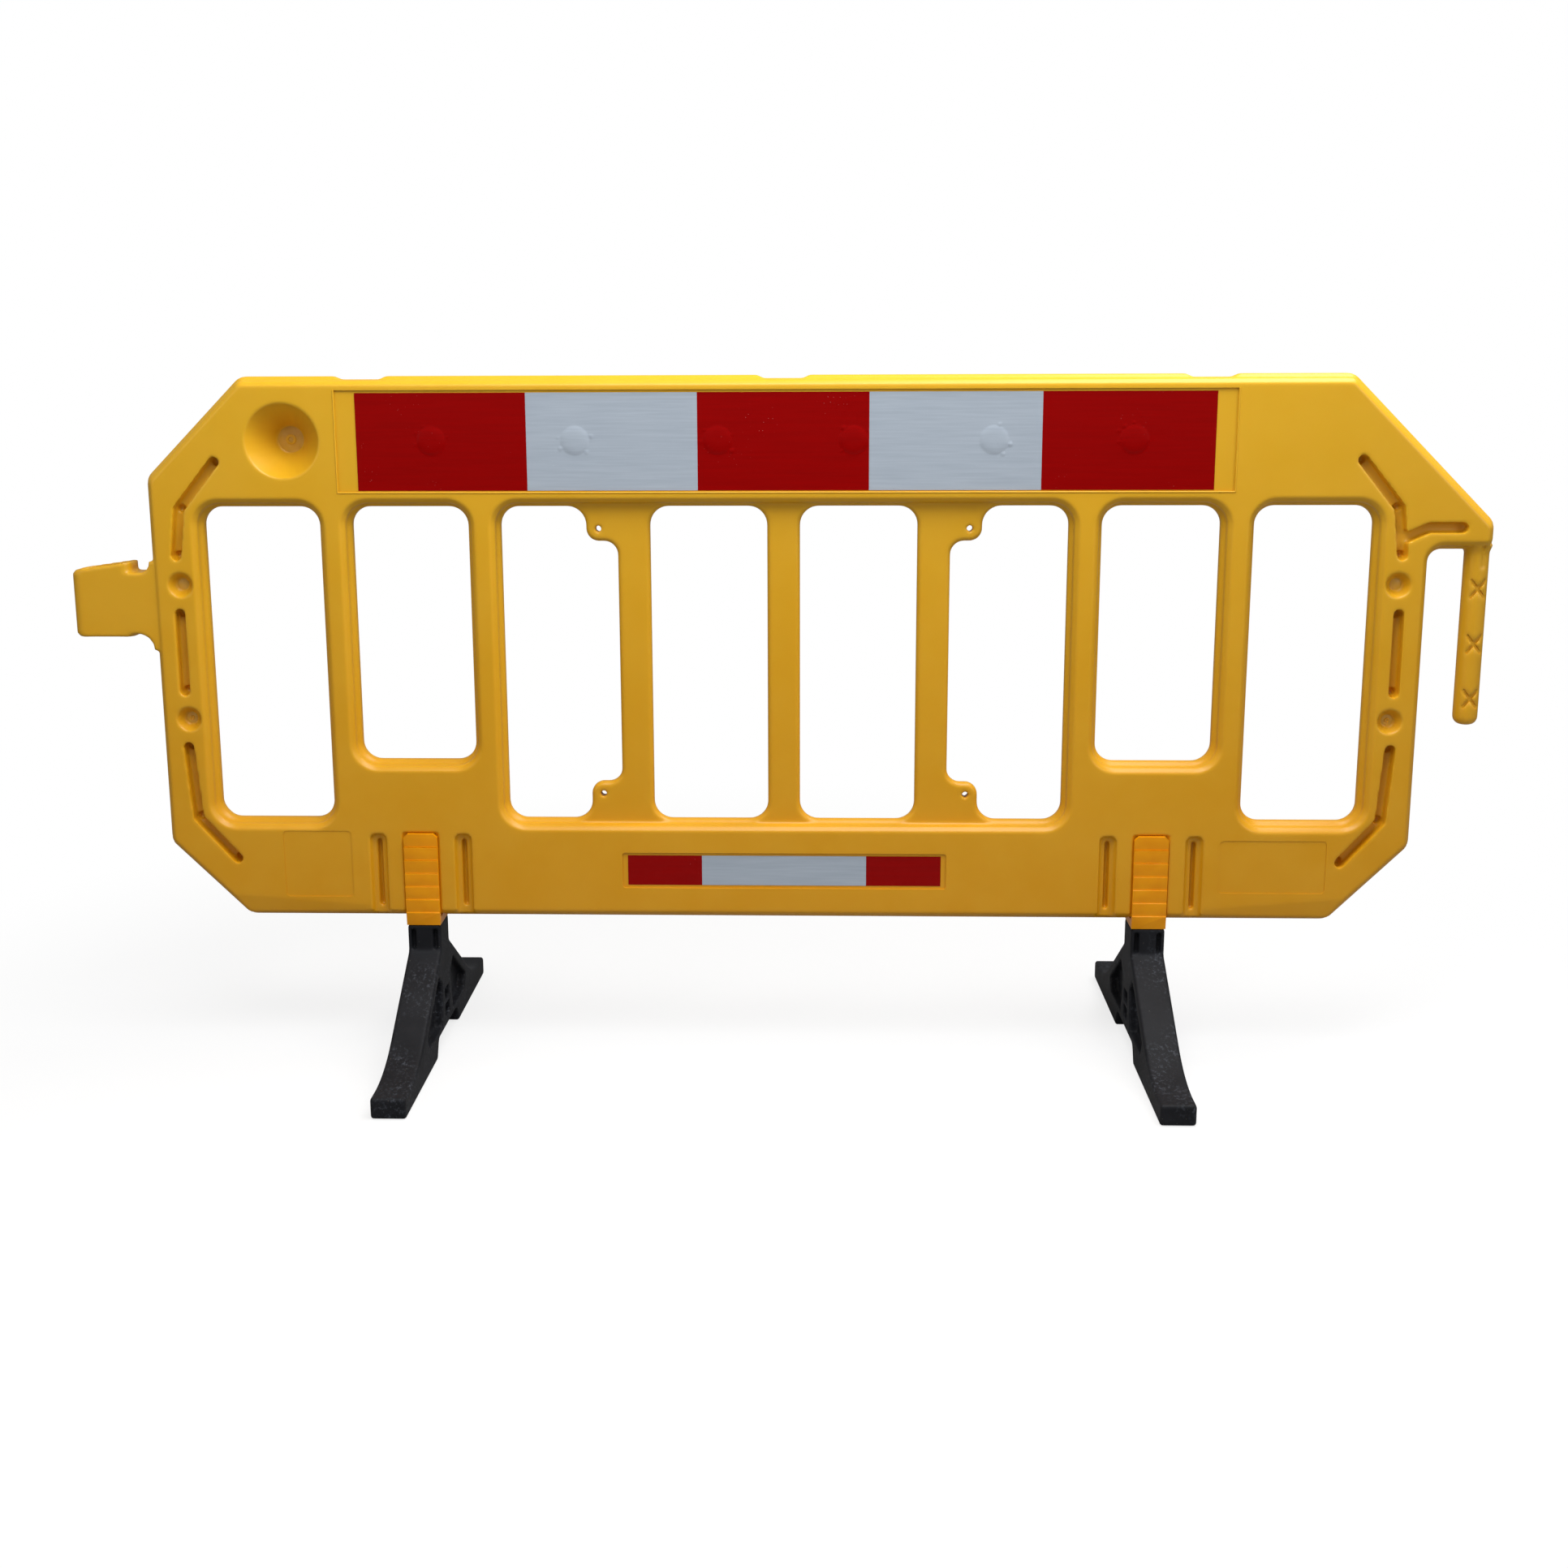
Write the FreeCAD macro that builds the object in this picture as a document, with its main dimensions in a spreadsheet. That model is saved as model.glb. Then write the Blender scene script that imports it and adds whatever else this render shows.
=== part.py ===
import FreeCAD, Part
import math
import os
import Sketcher

# A moulded road barrier panel, two metres between its coupling centres.
# Every shape is drawn about the middle of the windows, with the front face towards -Y,
# and each placement then moves it so that the overall box is centred on X = 0.

DRIVING_SIZES = {
    # heights, built up from the ground
    "ground_clearance": 194.0,
    "clip_drop": 9.6,
    "bottom_rail": 151.4,
    "window_height": 467.5,
    "short_window_rise": 90.0,
    "top_rail": 186.5,
    # widths, built up from the middle
    "window_pitch": 217.5,
    "window_width": 170.0,
    "post_width": 79.75,
    "window_radius": 27.5,
    # the moulding's section: a thin web and a full-depth hollow form round its openings
    "panel_depth": 54.0,
    "web_depth": 20.0,
    "rim_step": 6.0,
    "rim_chamfer": 7.0,
    "web_chamfer": 4.5,
    # the outline's corners
    "left_chamfer": 144.0,
    "bottom_chamfer": 115.0,
    "outline_radius": 22.0,
    "notch_x": 608.0,
    "notch_half_width": 38.0,
    "notch_taper": 10.0,
    "notch_depth": 4.7,
    # the lugs with the sign holes
    "lug_offset": 27.55,
    "lug_drop": 32.7,
    "lug_rise": 39.1,
    "lug_radius": 18.0,
    "lug_neck_radius": 20.0,
    "lug_hole_radius": 4.7,
    # the arm and its hanging peg
    "arm_length": 91.0,
    "arm_drop": 63.0,
    "arm_nose_height": 39.0,
    "arm_nose_radius": 15.0,
    "arm_shoulder_radius": 22.0,
    "arm_corner_radius": 18.0,
    "peg_inset": 20.0,
    "peg_radius": 17.35,
    "peg_length": 257.8,
    "peg_end_radius": 12.0,
    "peg_root_flare": 4.0,
    "peg_cross_drop": 56.5,
    "peg_cross_spacing": 80.5,
    "peg_cross_width": 22.0,
    "peg_cross_height": 28.6,
    "peg_cross_groove": 5.0,
    "peg_cross_depth": 5.0,
    "peg_groove_width": 7.0,
    "peg_groove_length": 27.5,
    "peg_groove_depth": 3.0,
    "peg_groove_offset": 4.0,
    # the socket that takes the next panel's peg
    "socket_length": 117.0,
    "socket_drop": 95.5,
    "socket_height": 90.0,
    "socket_corner_radius": 14.0,
    "socket_top_blend": 16.0,
    "socket_bottom_blend": 24.0,
    "socket_blend_margin": 1.0,
    "socket_shoulder": 29.0,
    "socket_hole_width": 38.0,
    "collar_wall": 5.0,
    "collar_inset": 4.0,
    "collar_side_inset": 3.0,
    "collar_lip_below": 4.5,
    "collar_lip_outside": 4.0,
    "collar_lip_inside": 16.0,
    # sheeting and its recesses
    "sheet_width": 244.8,
    "sheet_height": 139.0,
    "sheet_thickness": 0.6,
    "recess_depth": 2.5,
    "recess_top_inset": 19.5,
    "recess_height": 146.0,
    "recess_side_margin": 30.0,
    "recess_bottom_margin": 3.0,
    "lower_sheet_white_width": 244.5,
    "lower_sheet_red_width": 110.75,
    "lower_sheet_height": 45.5,
    "lower_recess_depth": 2.5,
    "lower_recess_rise": 49.9,
    "lower_recess_margin": 8.0,
    "lower_recess_rim": 4.5,
    # dimples
    "lamp_gap": 78.0,
    "lamp_drop": 91.0,
    "lamp_radius": 54.0,
    "lamp_floor_radius": 20.0,
    "lamp_floor": 3.0,
    "dimple_inset": 46.0,
    "dimple_radius": 18.6,
    "dimple_floor_radius": 10.5,
    "dimple_depth": 15.0,
    # the stiffening grooves down both posts
    "slot_width": 15.0,
    "slot_depth": 16.0,
    "slot_pit_depth": 23.0,
    "slot_pit_radius": 6.0,
    "slot_inset": 42.5,
    "slot_end_inset": 105.5,
    "slot_knee_inset": 50.5,
    "slot_top_drop": 121.0,
    "slot_knee_drop": 188.5,
    "slot_upper_end_drop": 69.5,
    "slot_middle_drop": 155.5,
    "slot_middle_length": 114.5,
    "slot_lower_gap": 85.0,
    "slot_lower_length": 108.0,
    "slot_end_rise": 93.4,
    "arm_slot_start_rise": 16.5,
    "arm_slot_rise": 32.5,
    "arm_slot_bend_inset": 6.5,
    "arm_slot_reach": 40.4,
    # the feet's places and what is moulded round them
    "foot_x": 543.0,
    "flute_offset": 63.65,
    "flute_width": 25.0,
    "flute_height": 132.4,
    "flute_depth": 9.0,
    "flute_floor_chamfer": 5.0,
    "flute_end_radius": 10.0,
    "frame_depth": 1.5,
    "frame_radius": 6.0,
    "left_frame_gap": 104.0,
    "left_frame_width": 102.8,
    "left_frame_rise": 34.4,
    "left_frame_height": 102.0,
    "right_frame_gap": 100.6,
    "right_frame_width": 156.6,
    "right_frame_rise": 45.9,
    "right_frame_height": 80.5,
    # the saddle clip
    "clip_width": 50.5,
    "clip_depth": 62.0,
    "clip_height": 142.5,
    "clip_wall": 9.0,
    "clip_web": 12.0,
    "clip_foot_radius": 3.0,
    "clip_top_chamfer": 6.0,
    "clip_rib_pitch": 20.3,
    "clip_rib_depth": 1.6,
    "clip_rib_drop": 3.2,
    "clip_rib_rise": 1.6,
    "clip_gap": 1.5,
    "running_gap": 0.3,
    # the rubber foot
    "foot_length": 578.0,
    "foot_width": 50.0,
    "foot_toe_height": 31.0,
    "foot_toe_length": 81.6,
    "foot_toe_radius": 5.0,
    "foot_slope_radius": 185.0,
    "foot_edge_chamfer": 2.5,
    "foot_block_depth": 58.0,
    "foot_block_height": 40.0,
    "foot_block_radius": 8.0,
    "foot_arch_half_width": 80.0,
    "foot_arch_height": 28.0,
    "foot_arch_draft": 14.0,
    "foot_arch_radius": 12.0,
    "foot_pocket_depth": 14.0,
    "foot_pocket_radius": 6.0,
    "foot_rib": 11.0,
    "foot_floor_rib": 8.0,
    "foot_skin": 20.0,
    "foot_window_width": 28.0,
    "foot_window_height": 19.0,
    "foot_window_rise": 14.0,
    "foot_window_gap": 6.0,
    "foot_slot_x": 16.5,
    "foot_slot_width": 7.0,
    "foot_slot_depth": 9.0,
    "foot_slot_margin": 6.0,
    "foot_bore_radius": 16.0,
    # the swivel
    "bush_length": 43.7,
    "bush_radius": 10.0,
    "bolt_radius": 6.0,
    "bolt_running_fit": 0.08,
    "bolt_hole_clearance": 0.5,
    "bolt_head_height": 7.5,
    "bolt_head_radius": 10.97,
    "bolt_end_length": 3.0,
    "washer_radius": 12.0,
    "washer_thickness": 2.5,
    "nut_height": 12.0,
    "nut_radius": 10.97,
    "nut_pocket_clearance": 3.0,
    "nut_pocket_headroom": 8.5,
    # how far a cutter reaches past the face that it opens
    "overcut": 5.0,
}

TAN_22_5 = 0.41421356

doc = FreeCAD.newDocument("barrier")
sheet = doc.addObject("Spreadsheet::Sheet", "sheet")
for row, (alias, number) in enumerate(DRIVING_SIZES.items(), 1):
    sheet.set("A%d" % row, alias.replace("_", " "))
    sheet.set("B%d" % row, str(number))
    sheet.setAlias("B%d" % row, alias)
doc.recompute()


class Size:
    """A length that knows both its number and its formula in the sheet."""

    def __init__(self, number, formula=None):
        self.number = float(number)
        self.formula = formula if formula is not None else repr(float(number))

    def __add__(self, other):
        other = as_size(other)
        return Size(self.number + other.number, "(%s + %s)" % (self.formula, other.formula))

    def __sub__(self, other):
        other = as_size(other)
        return Size(self.number - other.number, "(%s - %s)" % (self.formula, other.formula))

    def __rsub__(self, other):
        return as_size(other) - self

    def __mul__(self, factor):
        factor = as_size(factor)
        return Size(self.number * factor.number, "(%s * %s)" % (self.formula, factor.formula))

    def __truediv__(self, factor):
        factor = as_size(factor)
        return Size(self.number / factor.number, "(%s / %s)" % (self.formula, factor.formula))

    def __neg__(self):
        return self * -1

    __radd__ = __add__
    __rmul__ = __mul__


def as_size(value):
    return value if isinstance(value, Size) else Size(value)


def size(alias):
    return Size(sheet.get(alias), "sheet." + alias)


def tie(thing, prop, value):
    thing.setExpression(prop, as_size(value).formula)


# Sketches

def new_body(label):
    body = doc.addObject("PartDesign::Body", label)
    body.Label = label
    return body


def origin_plane(body, role):
    return [item for item in body.Origin.OriginFeatures if item.Role == role][0]


def new_sketch(body, name, role, offset=0):
    """A sketch on one of the body's own planes, moved along the plane's normal."""
    sketch = body.newObject("Sketcher::SketchObject", name)
    sketch.AttachmentSupport = [(origin_plane(body, role), "")]
    sketch.MapMode = "FlatFace"
    if as_size(offset).number:
        tie(sketch, "AttachmentOffset.Base.z", offset)
    return sketch


def vector(x, y):
    return FreeCAD.Vector(as_size(x).number, as_size(y).number, 0)


def constrain(sketch, kinds_and_values):
    """Adds dimensional constraints in one go and ties each to its formula."""
    first = sketch.ConstraintCount
    sketch.addConstraint([Sketcher.Constraint(*kind, as_size(value).number)
                          for kind, value in kinds_and_values])
    for index, (kind, value) in enumerate(kinds_and_values):
        tie(sketch, "Constraints[%d]" % (first + index), value)


def fix_point(geometry, position, x, y):
    return [(("DistanceX", -1, 1, geometry, position), x),
            (("DistanceY", -1, 1, geometry, position), y)]


def corner_arc(before, corner, after, radius):
    """The arc that rounds a corner, its ends, and whether it starts at the first side."""
    inwards = (before - corner).normalize()
    outwards = (after - corner).normalize()
    half_angle = inwards.getAngle(outwards) / 2
    setback = radius / math.tan(half_angle)
    middle = (inwards + outwards).normalize() * (radius / math.sin(half_angle))
    centre = corner + middle
    start = corner + inwards * setback
    end = corner + outwards * setback
    turns_left = (corner - before).cross(after - corner).z > 0
    first, last = (start, end) if turns_left else (end, start)
    angles = [math.atan2(p.y - centre.y, p.x - centre.x) for p in (first, last)]
    if angles[1] < angles[0]:
        angles[1] += 2 * math.pi
    arc = Part.ArcOfCircle(Part.Circle(centre, FreeCAD.Vector(0, 0, 1), radius), *angles)
    return arc, start, end, turns_left


def outline(sketch, corners):
    """A closed outline through (x, y) or (x, y, radius) corners, rounded where they say so."""
    count = len(corners)
    points = [vector(corner[0], corner[1]) for corner in corners]
    radii = [corner[2] if len(corner) > 2 else None for corner in corners]
    arcs = [None] * count
    for i, radius in enumerate(radii):
        if radius is not None:
            arcs[i] = corner_arc(points[i - 1], points[i], points[(i + 1) % count],
                                 as_size(radius).number)
    lines = sketch.GeometryCount
    for i in range(count):
        after = (i + 1) % count
        start = arcs[i][2] if arcs[i] else points[i]
        end = arcs[after][1] if arcs[after] else points[after]
        sketch.addGeometry(Part.LineSegment(start, end), False)
    links = []
    fixed = []
    for i in range(count):
        before = lines + (i - 1) % count
        if arcs[i] is None:
            links.append(Sketcher.Constraint("Coincident", before, 2, lines + i, 1))
            fixed += fix_point(lines + i, 1, corners[i][0], corners[i][1])
            continue
        arc = sketch.GeometryCount
        sketch.addGeometry(arcs[i][0], False)
        sketch.addGeometry(Part.Point(points[i]), True)
        near, far = (1, 2) if arcs[i][3] else (2, 1)
        links.append(Sketcher.Constraint("Tangent", before, 2, arc, near))
        links.append(Sketcher.Constraint("Tangent", arc, far, lines + i, 1))
        links.append(Sketcher.Constraint("PointOnObject", arc + 1, 1, before))
        links.append(Sketcher.Constraint("PointOnObject", arc + 1, 1, lines + i))
        fixed += fix_point(arc + 1, 1, corners[i][0], corners[i][1])
        fixed.append((("Radius", arc), radii[i]))
    sketch.addConstraint(links)
    constrain(sketch, fixed)


def rectangle(sketch, left, bottom, right, top, *radius):
    outline(sketch, [(left, bottom) + radius, (right, bottom) + radius,
                     (right, top) + radius, (left, top) + radius])


def circle(sketch, x, y, radius):
    first = sketch.GeometryCount
    sketch.addGeometry(Part.Circle(vector(x, y), FreeCAD.Vector(0, 0, 1),
                                   as_size(radius).number), False)
    constrain(sketch, fix_point(first, 3, x, y) + [(("Radius", first), radius)])


def straight_slot(sketch, start, end, width):
    """A round-ended slot between two centres."""
    radius = as_size(width).number / 2
    first = vector(*start)
    last = vector(*end)
    across = (last - first).normalize().cross(FreeCAD.Vector(0, 0, 1)) * radius
    lean = math.atan2(last.y - first.y, last.x - first.x)
    up = FreeCAD.Vector(0, 0, 1)
    line = sketch.GeometryCount
    sketch.addGeometry([
        Part.LineSegment(first + across, last + across),
        Part.ArcOfCircle(Part.Circle(last, up, radius), lean - math.pi / 2,
                         lean + math.pi / 2),
        Part.LineSegment(last - across, first - across),
        Part.ArcOfCircle(Part.Circle(first, up, radius), lean + math.pi / 2,
                         lean + 3 * math.pi / 2),
    ], False)
    sketch.addConstraint([Sketcher.Constraint("Tangent", line + i, 2, line + (i + 1) % 4, 1)
                          for i in range(4)])
    constrain(sketch, fix_point(line + 3, 3, *start) + fix_point(line + 1, 3, *end)
              + [(("Radius", line + 1), as_size(width) / 2)])


def hexagon(sketch, radius):
    corners = []
    for step in range(6):
        corner = FreeCAD.Rotation(FreeCAD.Vector(0, 0, 1), 60 * step).multVec(
            FreeCAD.Vector(1, 0, 0))
        corners.append((radius * corner.x, radius * corner.y))
    outline(sketch, corners)


# Features

def pad(body, sketch, length, symmetric=False, reverse=False):
    feature = body.newObject("PartDesign::Pad", sketch.Name + "_pad")
    feature.Profile = sketch
    feature.SideType = "Symmetric" if symmetric else "One side"
    feature.Reversed = reverse
    tie(feature, "Length", length)
    doc.recompute()
    return feature


def pocket(body, sketch, length, symmetric=False, reverse=False, taper=0):
    before = body.Shape.Volume
    feature = body.newObject("PartDesign::Pocket", sketch.Name + "_pocket")
    feature.Profile = sketch
    feature.SideType = "Symmetric" if symmetric else "One side"
    feature.Reversed = reverse
    feature.TaperAngle = taper
    tie(feature, "Length", length)
    doc.recompute()
    if body.Shape.Volume >= before:
        raise RuntimeError(sketch.Name + " cuts nothing")
    return feature


def mirror(body, features, role):
    feature = body.newObject("PartDesign::Mirrored", features[0].Name + "_mirrored")
    feature.Originals = features
    feature.MirrorPlane = (origin_plane(body, role), [""])
    body.Tip = feature
    doc.recompute()
    return feature


def chamfer(body, width, wanted, name):
    """Bevels every edge of the body's tip that wanted picks by its place."""
    base = body.Tip
    names = ["Edge%d" % number for number, edge in enumerate(base.Shape.Edges, 1)
             if wanted(edge)]
    if not names:
        raise RuntimeError(name + " finds no edge")
    feature = body.newObject("PartDesign::Chamfer", name)
    feature.Base = (base, names)
    tie(feature, "Size", width)
    doc.recompute()
    return feature


def in_plane(edge, axis, place):
    """True for an edge that lies wholly in a plane across the axis, 0 for X to 2 for Z."""
    box = edge.BoundBox
    low = (box.XMin, box.YMin, box.ZMin)[axis]
    high = (box.XMax, box.YMax, box.ZMax)[axis]
    return max(abs(low - as_size(place).number), abs(high - as_size(place).number)) < 1e-3


def on_both_faces(edge, axis, distance):
    return in_plane(edge, axis, distance) or in_plane(edge, axis, -as_size(distance))


def fuse(name, *shapes):
    feature = doc.addObject("Part::MultiFuse", name)
    feature.Shapes = list(shapes)
    doc.recompute()
    return feature


def cut(name, base, tool):
    feature = doc.addObject("Part::Cut", name)
    feature.Base = base
    feature.Tool = tool
    doc.recompute()
    return feature


def place(feature, x=0):
    tie(feature, "Placement.Base.x", centre_shift + x)


panel_bottom = size("ground_clearance") + size("clip_drop")
window_bottom = panel_bottom + size("bottom_rail")
window_top = window_bottom + size("window_height")
panel_top = window_top + size("top_rail")
pitch = size("window_pitch")
half_window = size("window_width") / 2
half_width = pitch * 3.5 + half_window + size("post_width")
half_depth = size("panel_depth") / 2
half_web = size("web_depth") / 2
arm_reach = half_width + size("arm_length")
arm_underside = window_top - size("arm_drop")
socket_reach = half_width + size("socket_length")
socket_top = window_top - size("socket_drop")
socket_bottom = socket_top - size("socket_height")
lug_x = pitch * 1.5 - half_window + size("lug_offset")
clip_top = size("ground_clearance") + size("clip_height")
clip_web_top = size("ground_clearance") + size("clip_web")
overcut = size("overcut")
none = as_size(0)
centre_shift = (socket_reach - arm_reach) / 2


# The panel

def panel_outline(inset):
    """The front outline, with every side moved inwards by the inset."""
    lean = inset * TAN_22_5
    top = panel_top - inset
    bottom = panel_bottom + inset
    right = half_width - inset
    nose = arm_underside + size("arm_nose_height") - lean
    low_corner = panel_bottom + size("bottom_chamfer") + lean
    low_x = half_width - size("bottom_chamfer") - lean
    shoulder_x = arm_reach - (panel_top - arm_underside - size("arm_nose_height")) - lean
    rounded = size("outline_radius") - inset
    return [
        (-(half_width - size("left_chamfer") - lean), top, rounded),
        (shoulder_x, top, rounded),
        (arm_reach - inset, nose, size("arm_shoulder_radius") - inset),
        (arm_reach - inset, arm_underside + inset, size("arm_nose_radius") - inset),
        (right, arm_underside + inset, size("arm_corner_radius") + inset),
        (right, low_corner, rounded),
        (low_x, bottom, rounded),
        (-low_x, bottom, rounded),
        (-right, low_corner, rounded),
        (-right, panel_top - size("left_chamfer") - lean, rounded),
    ]


def window_sketch(body, name, first, last, rise, step):
    """An opening from the first window to the last, counted from the middle: -1 to the left,
    1 to the right. Its bottom is raised by rise, and its sides all stand back by step."""
    sketch = new_sketch(body, name, "XZ_Plane")
    left = pitch * (first + (0.5 if first < 0 else -0.5)) - half_window - step
    right = pitch * (last + (0.5 if last < 0 else -0.5)) + half_window + step
    rectangle(sketch, left, window_bottom + rise - step, right, window_top + step,
              size("window_radius") + step)
    return sketch


def lugged_window_sketch(body):
    """The second window from the middle, with a lug in both corners next to the middle."""
    sketch = new_sketch(body, "lugged_window", "XZ_Plane")
    inner = pitch * 1.5 - half_window
    outer = pitch * 1.5 + half_window
    round_lug = size("lug_radius")
    side = lug_x + round_lug
    low = window_bottom + size("lug_rise") + round_lug
    high = window_top - size("lug_drop") - round_lug
    corner = size("window_radius")
    neck = size("lug_neck_radius")
    outline(sketch, [(outer, window_bottom, corner), (side, window_bottom, corner),
                     (side, low, round_lug), (inner, low, neck), (inner, high, neck),
                     (side, high, round_lug), (side, window_top, corner),
                     (outer, window_top, corner)])
    return sketch


def lug_hole_sketch(body):
    sketch = new_sketch(body, "lug_holes", "XZ_Plane")
    for lug_z in (window_bottom + size("lug_rise"), window_top - size("lug_drop")):
        circle(sketch, lug_x, lug_z, size("lug_hole_radius"))
    return sketch


def make_web():
    """The thin middle layer, which carries the windows, their bars and the lugs."""
    body = new_body("panel_web")
    sketch = new_sketch(body, "web_outline", "XZ_Plane")
    outline(sketch, panel_outline(none))
    pad(body, sketch, size("web_depth"), symmetric=True)
    deep = size("web_depth") + overcut * 2
    openings = [
        window_sketch(body, "inner_window", 1, 1, none, none),
        lugged_window_sketch(body),
        window_sketch(body, "short_window", 3, 3, size("short_window_rise"), none),
        window_sketch(body, "outer_window", 4, 4, none, none),
    ]
    mirror(body, [pocket(body, opening, deep, symmetric=True) for opening in openings],
           "YZ_Plane")
    chamfer(body, size("web_chamfer"), lambda edge: on_both_faces(edge, 1, half_web),
            "web_edges")
    mirror(body, [pocket(body, lug_hole_sketch(body), deep, symmetric=True)], "YZ_Plane")
    return body


def make_core():
    """The full-depth hollow form round the windows; the four middle ones share an opening."""
    body = new_body("panel_core")
    sketch = new_sketch(body, "core_outline", "XZ_Plane")
    step = size("rim_step")
    outline(sketch, panel_outline(step))
    pad(body, sketch, size("panel_depth"), symmetric=True)
    deep = size("panel_depth") + overcut * 2
    openings = [
        window_sketch(body, "short_opening", 3, 3, size("short_window_rise"), step),
        window_sketch(body, "outer_opening", 4, 4, none, step),
    ]
    mirror(body, [pocket(body, opening, deep, symmetric=True) for opening in openings],
           "YZ_Plane")
    pocket(body, window_sketch(body, "middle_opening", -2, 2, none, step), deep,
           symmetric=True)
    chamfer(body, size("rim_chamfer"), lambda edge: on_both_faces(edge, 1, half_depth),
            "core_rims")
    return body


def make_socket():
    """The upright socket at the left end, with a lip above and below its slotted hole."""
    body = new_body("panel_socket")
    half_block = half_depth - size("rim_step") / 2
    root = -half_width + size("post_width") / 4
    block = new_sketch(body, "socket_block", "XY_Plane", socket_bottom)
    corner = size("socket_corner_radius")
    outline(block, [(-socket_reach, -half_block, corner), (root, -half_block),
                    (root, half_block), (-socket_reach, half_block, corner)])
    pad(body, block, size("socket_height"))
    top_blend = size("socket_top_blend")
    low_blend = size("socket_bottom_blend")
    margin = size("socket_blend_margin")
    neck = new_sketch(body, "socket_neck", "XZ_Plane")
    outline(neck, [(-half_width - low_blend - margin, socket_bottom),
                   (-half_width, socket_bottom, low_blend),
                   (-half_width, socket_bottom - low_blend - margin),
                   (root, socket_bottom - low_blend - margin),
                   (root, socket_top + top_blend + margin),
                   (-half_width, socket_top + top_blend + margin),
                   (-half_width, socket_top, top_blend),
                   (-half_width - low_blend - margin, socket_top)])
    pad(body, neck, half_block * 2, symmetric=True)
    inner = -half_width - size("socket_shoulder")
    outer = -socket_reach + size("collar_inset")
    half_collar = half_depth - size("collar_side_inset")
    bottom = socket_bottom - size("collar_lip_below")
    inner_top = socket_top + size("collar_lip_inside")
    outer_top = socket_top + size("collar_lip_outside")
    collar = new_sketch(body, "collar", "XY_Plane", bottom)
    rectangle(collar, outer, -half_collar, inner, half_collar, corner)
    pad(body, collar, inner_top - bottom)
    slope = new_sketch(body, "collar_slope", "XZ_Plane")
    high = inner_top + overcut
    outline(slope, [(outer - overcut, outer_top), (outer, outer_top), (inner, inner_top),
                    (inner, high), (outer - overcut, high)])
    pocket(body, slope, size("panel_depth") + overcut, symmetric=True)
    hole = new_sketch(body, "socket_hole", "XY_Plane", bottom - overcut)
    half_hole = size("socket_hole_width") / 2
    straight_slot(hole, (outer + size("collar_wall") + half_hole, 0),
                  (inner - size("collar_wall") - half_hole, 0), size("socket_hole_width"))
    pocket(body, hole, inner_top - bottom + overcut * 2, reverse=True)
    return body


def make_peg():
    """The round peg that hangs from the arm, and flares into it at the top."""
    body = new_body("panel_peg")
    sketch = new_sketch(body, "peg_half", "XZ_Plane")
    middle = arm_reach - size("peg_inset")
    side = middle + size("peg_radius")
    bottom = arm_underside - size("peg_length")
    top = arm_underside + size("rim_step")
    flare = size("peg_root_flare")
    outline(sketch, [(middle, bottom), (side, bottom, size("peg_end_radius")),
                     (side, arm_underside - flare), (side + flare, top), (middle, top)])
    axis = sketch.addGeometry(Part.LineSegment(vector(middle, bottom), vector(middle, top)),
                              True)
    sketch.addConstraint(Sketcher.Constraint("Vertical", axis))
    constrain(sketch, fix_point(axis, 1, middle, bottom)
              + [(("DistanceY", axis, 1, axis, 2), top - bottom)])
    turned = body.newObject("PartDesign::Revolution", "peg_turned")
    turned.Profile = sketch
    turned.ReferenceAxis = (sketch, ["Axis0"])
    turned.Angle = 360
    doc.recompute()
    return body


def mirrored_copy(name, source, normal):
    """A mirror image of a finished solid through the origin."""
    feature = doc.addObject("Part::Mirroring", name)
    feature.Source = source
    feature.Normal = normal
    doc.recompute()
    return feature


def both_sides(name, source):
    return [source, mirrored_copy(name + "_other_side", source, FreeCAD.Vector(1, 0, 0))]


def both_faces(name, sources):
    backs = [mirrored_copy("%s_back_%d" % (name, number), source, FreeCAD.Vector(0, 1, 0))
             for number, source in enumerate(sources)]
    return list(sources) + backs


def floor_sketch(body, name, depth):
    """A sketch in the floor of a recess that is this deep in the front face."""
    return new_sketch(body, name, "XZ_Plane", half_depth - depth)


def cone(name, x, z, depth, floor_radius, mouth_radius):
    """A round tapered recess in the front face."""
    feature = doc.addObject("Part::Cone", name)
    feature.Placement = FreeCAD.Placement(FreeCAD.Vector(),
                                          FreeCAD.Rotation(FreeCAD.Vector(1, 0, 0), 90))
    tie(feature, "Placement.Base.x", x)
    tie(feature, "Placement.Base.y", -(half_depth - depth))
    tie(feature, "Placement.Base.z", z)
    tie(feature, "Radius1", floor_radius)
    tie(feature, "Radius2", mouth_radius)
    tie(feature, "Height", depth)
    doc.recompute()
    return feature


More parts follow.
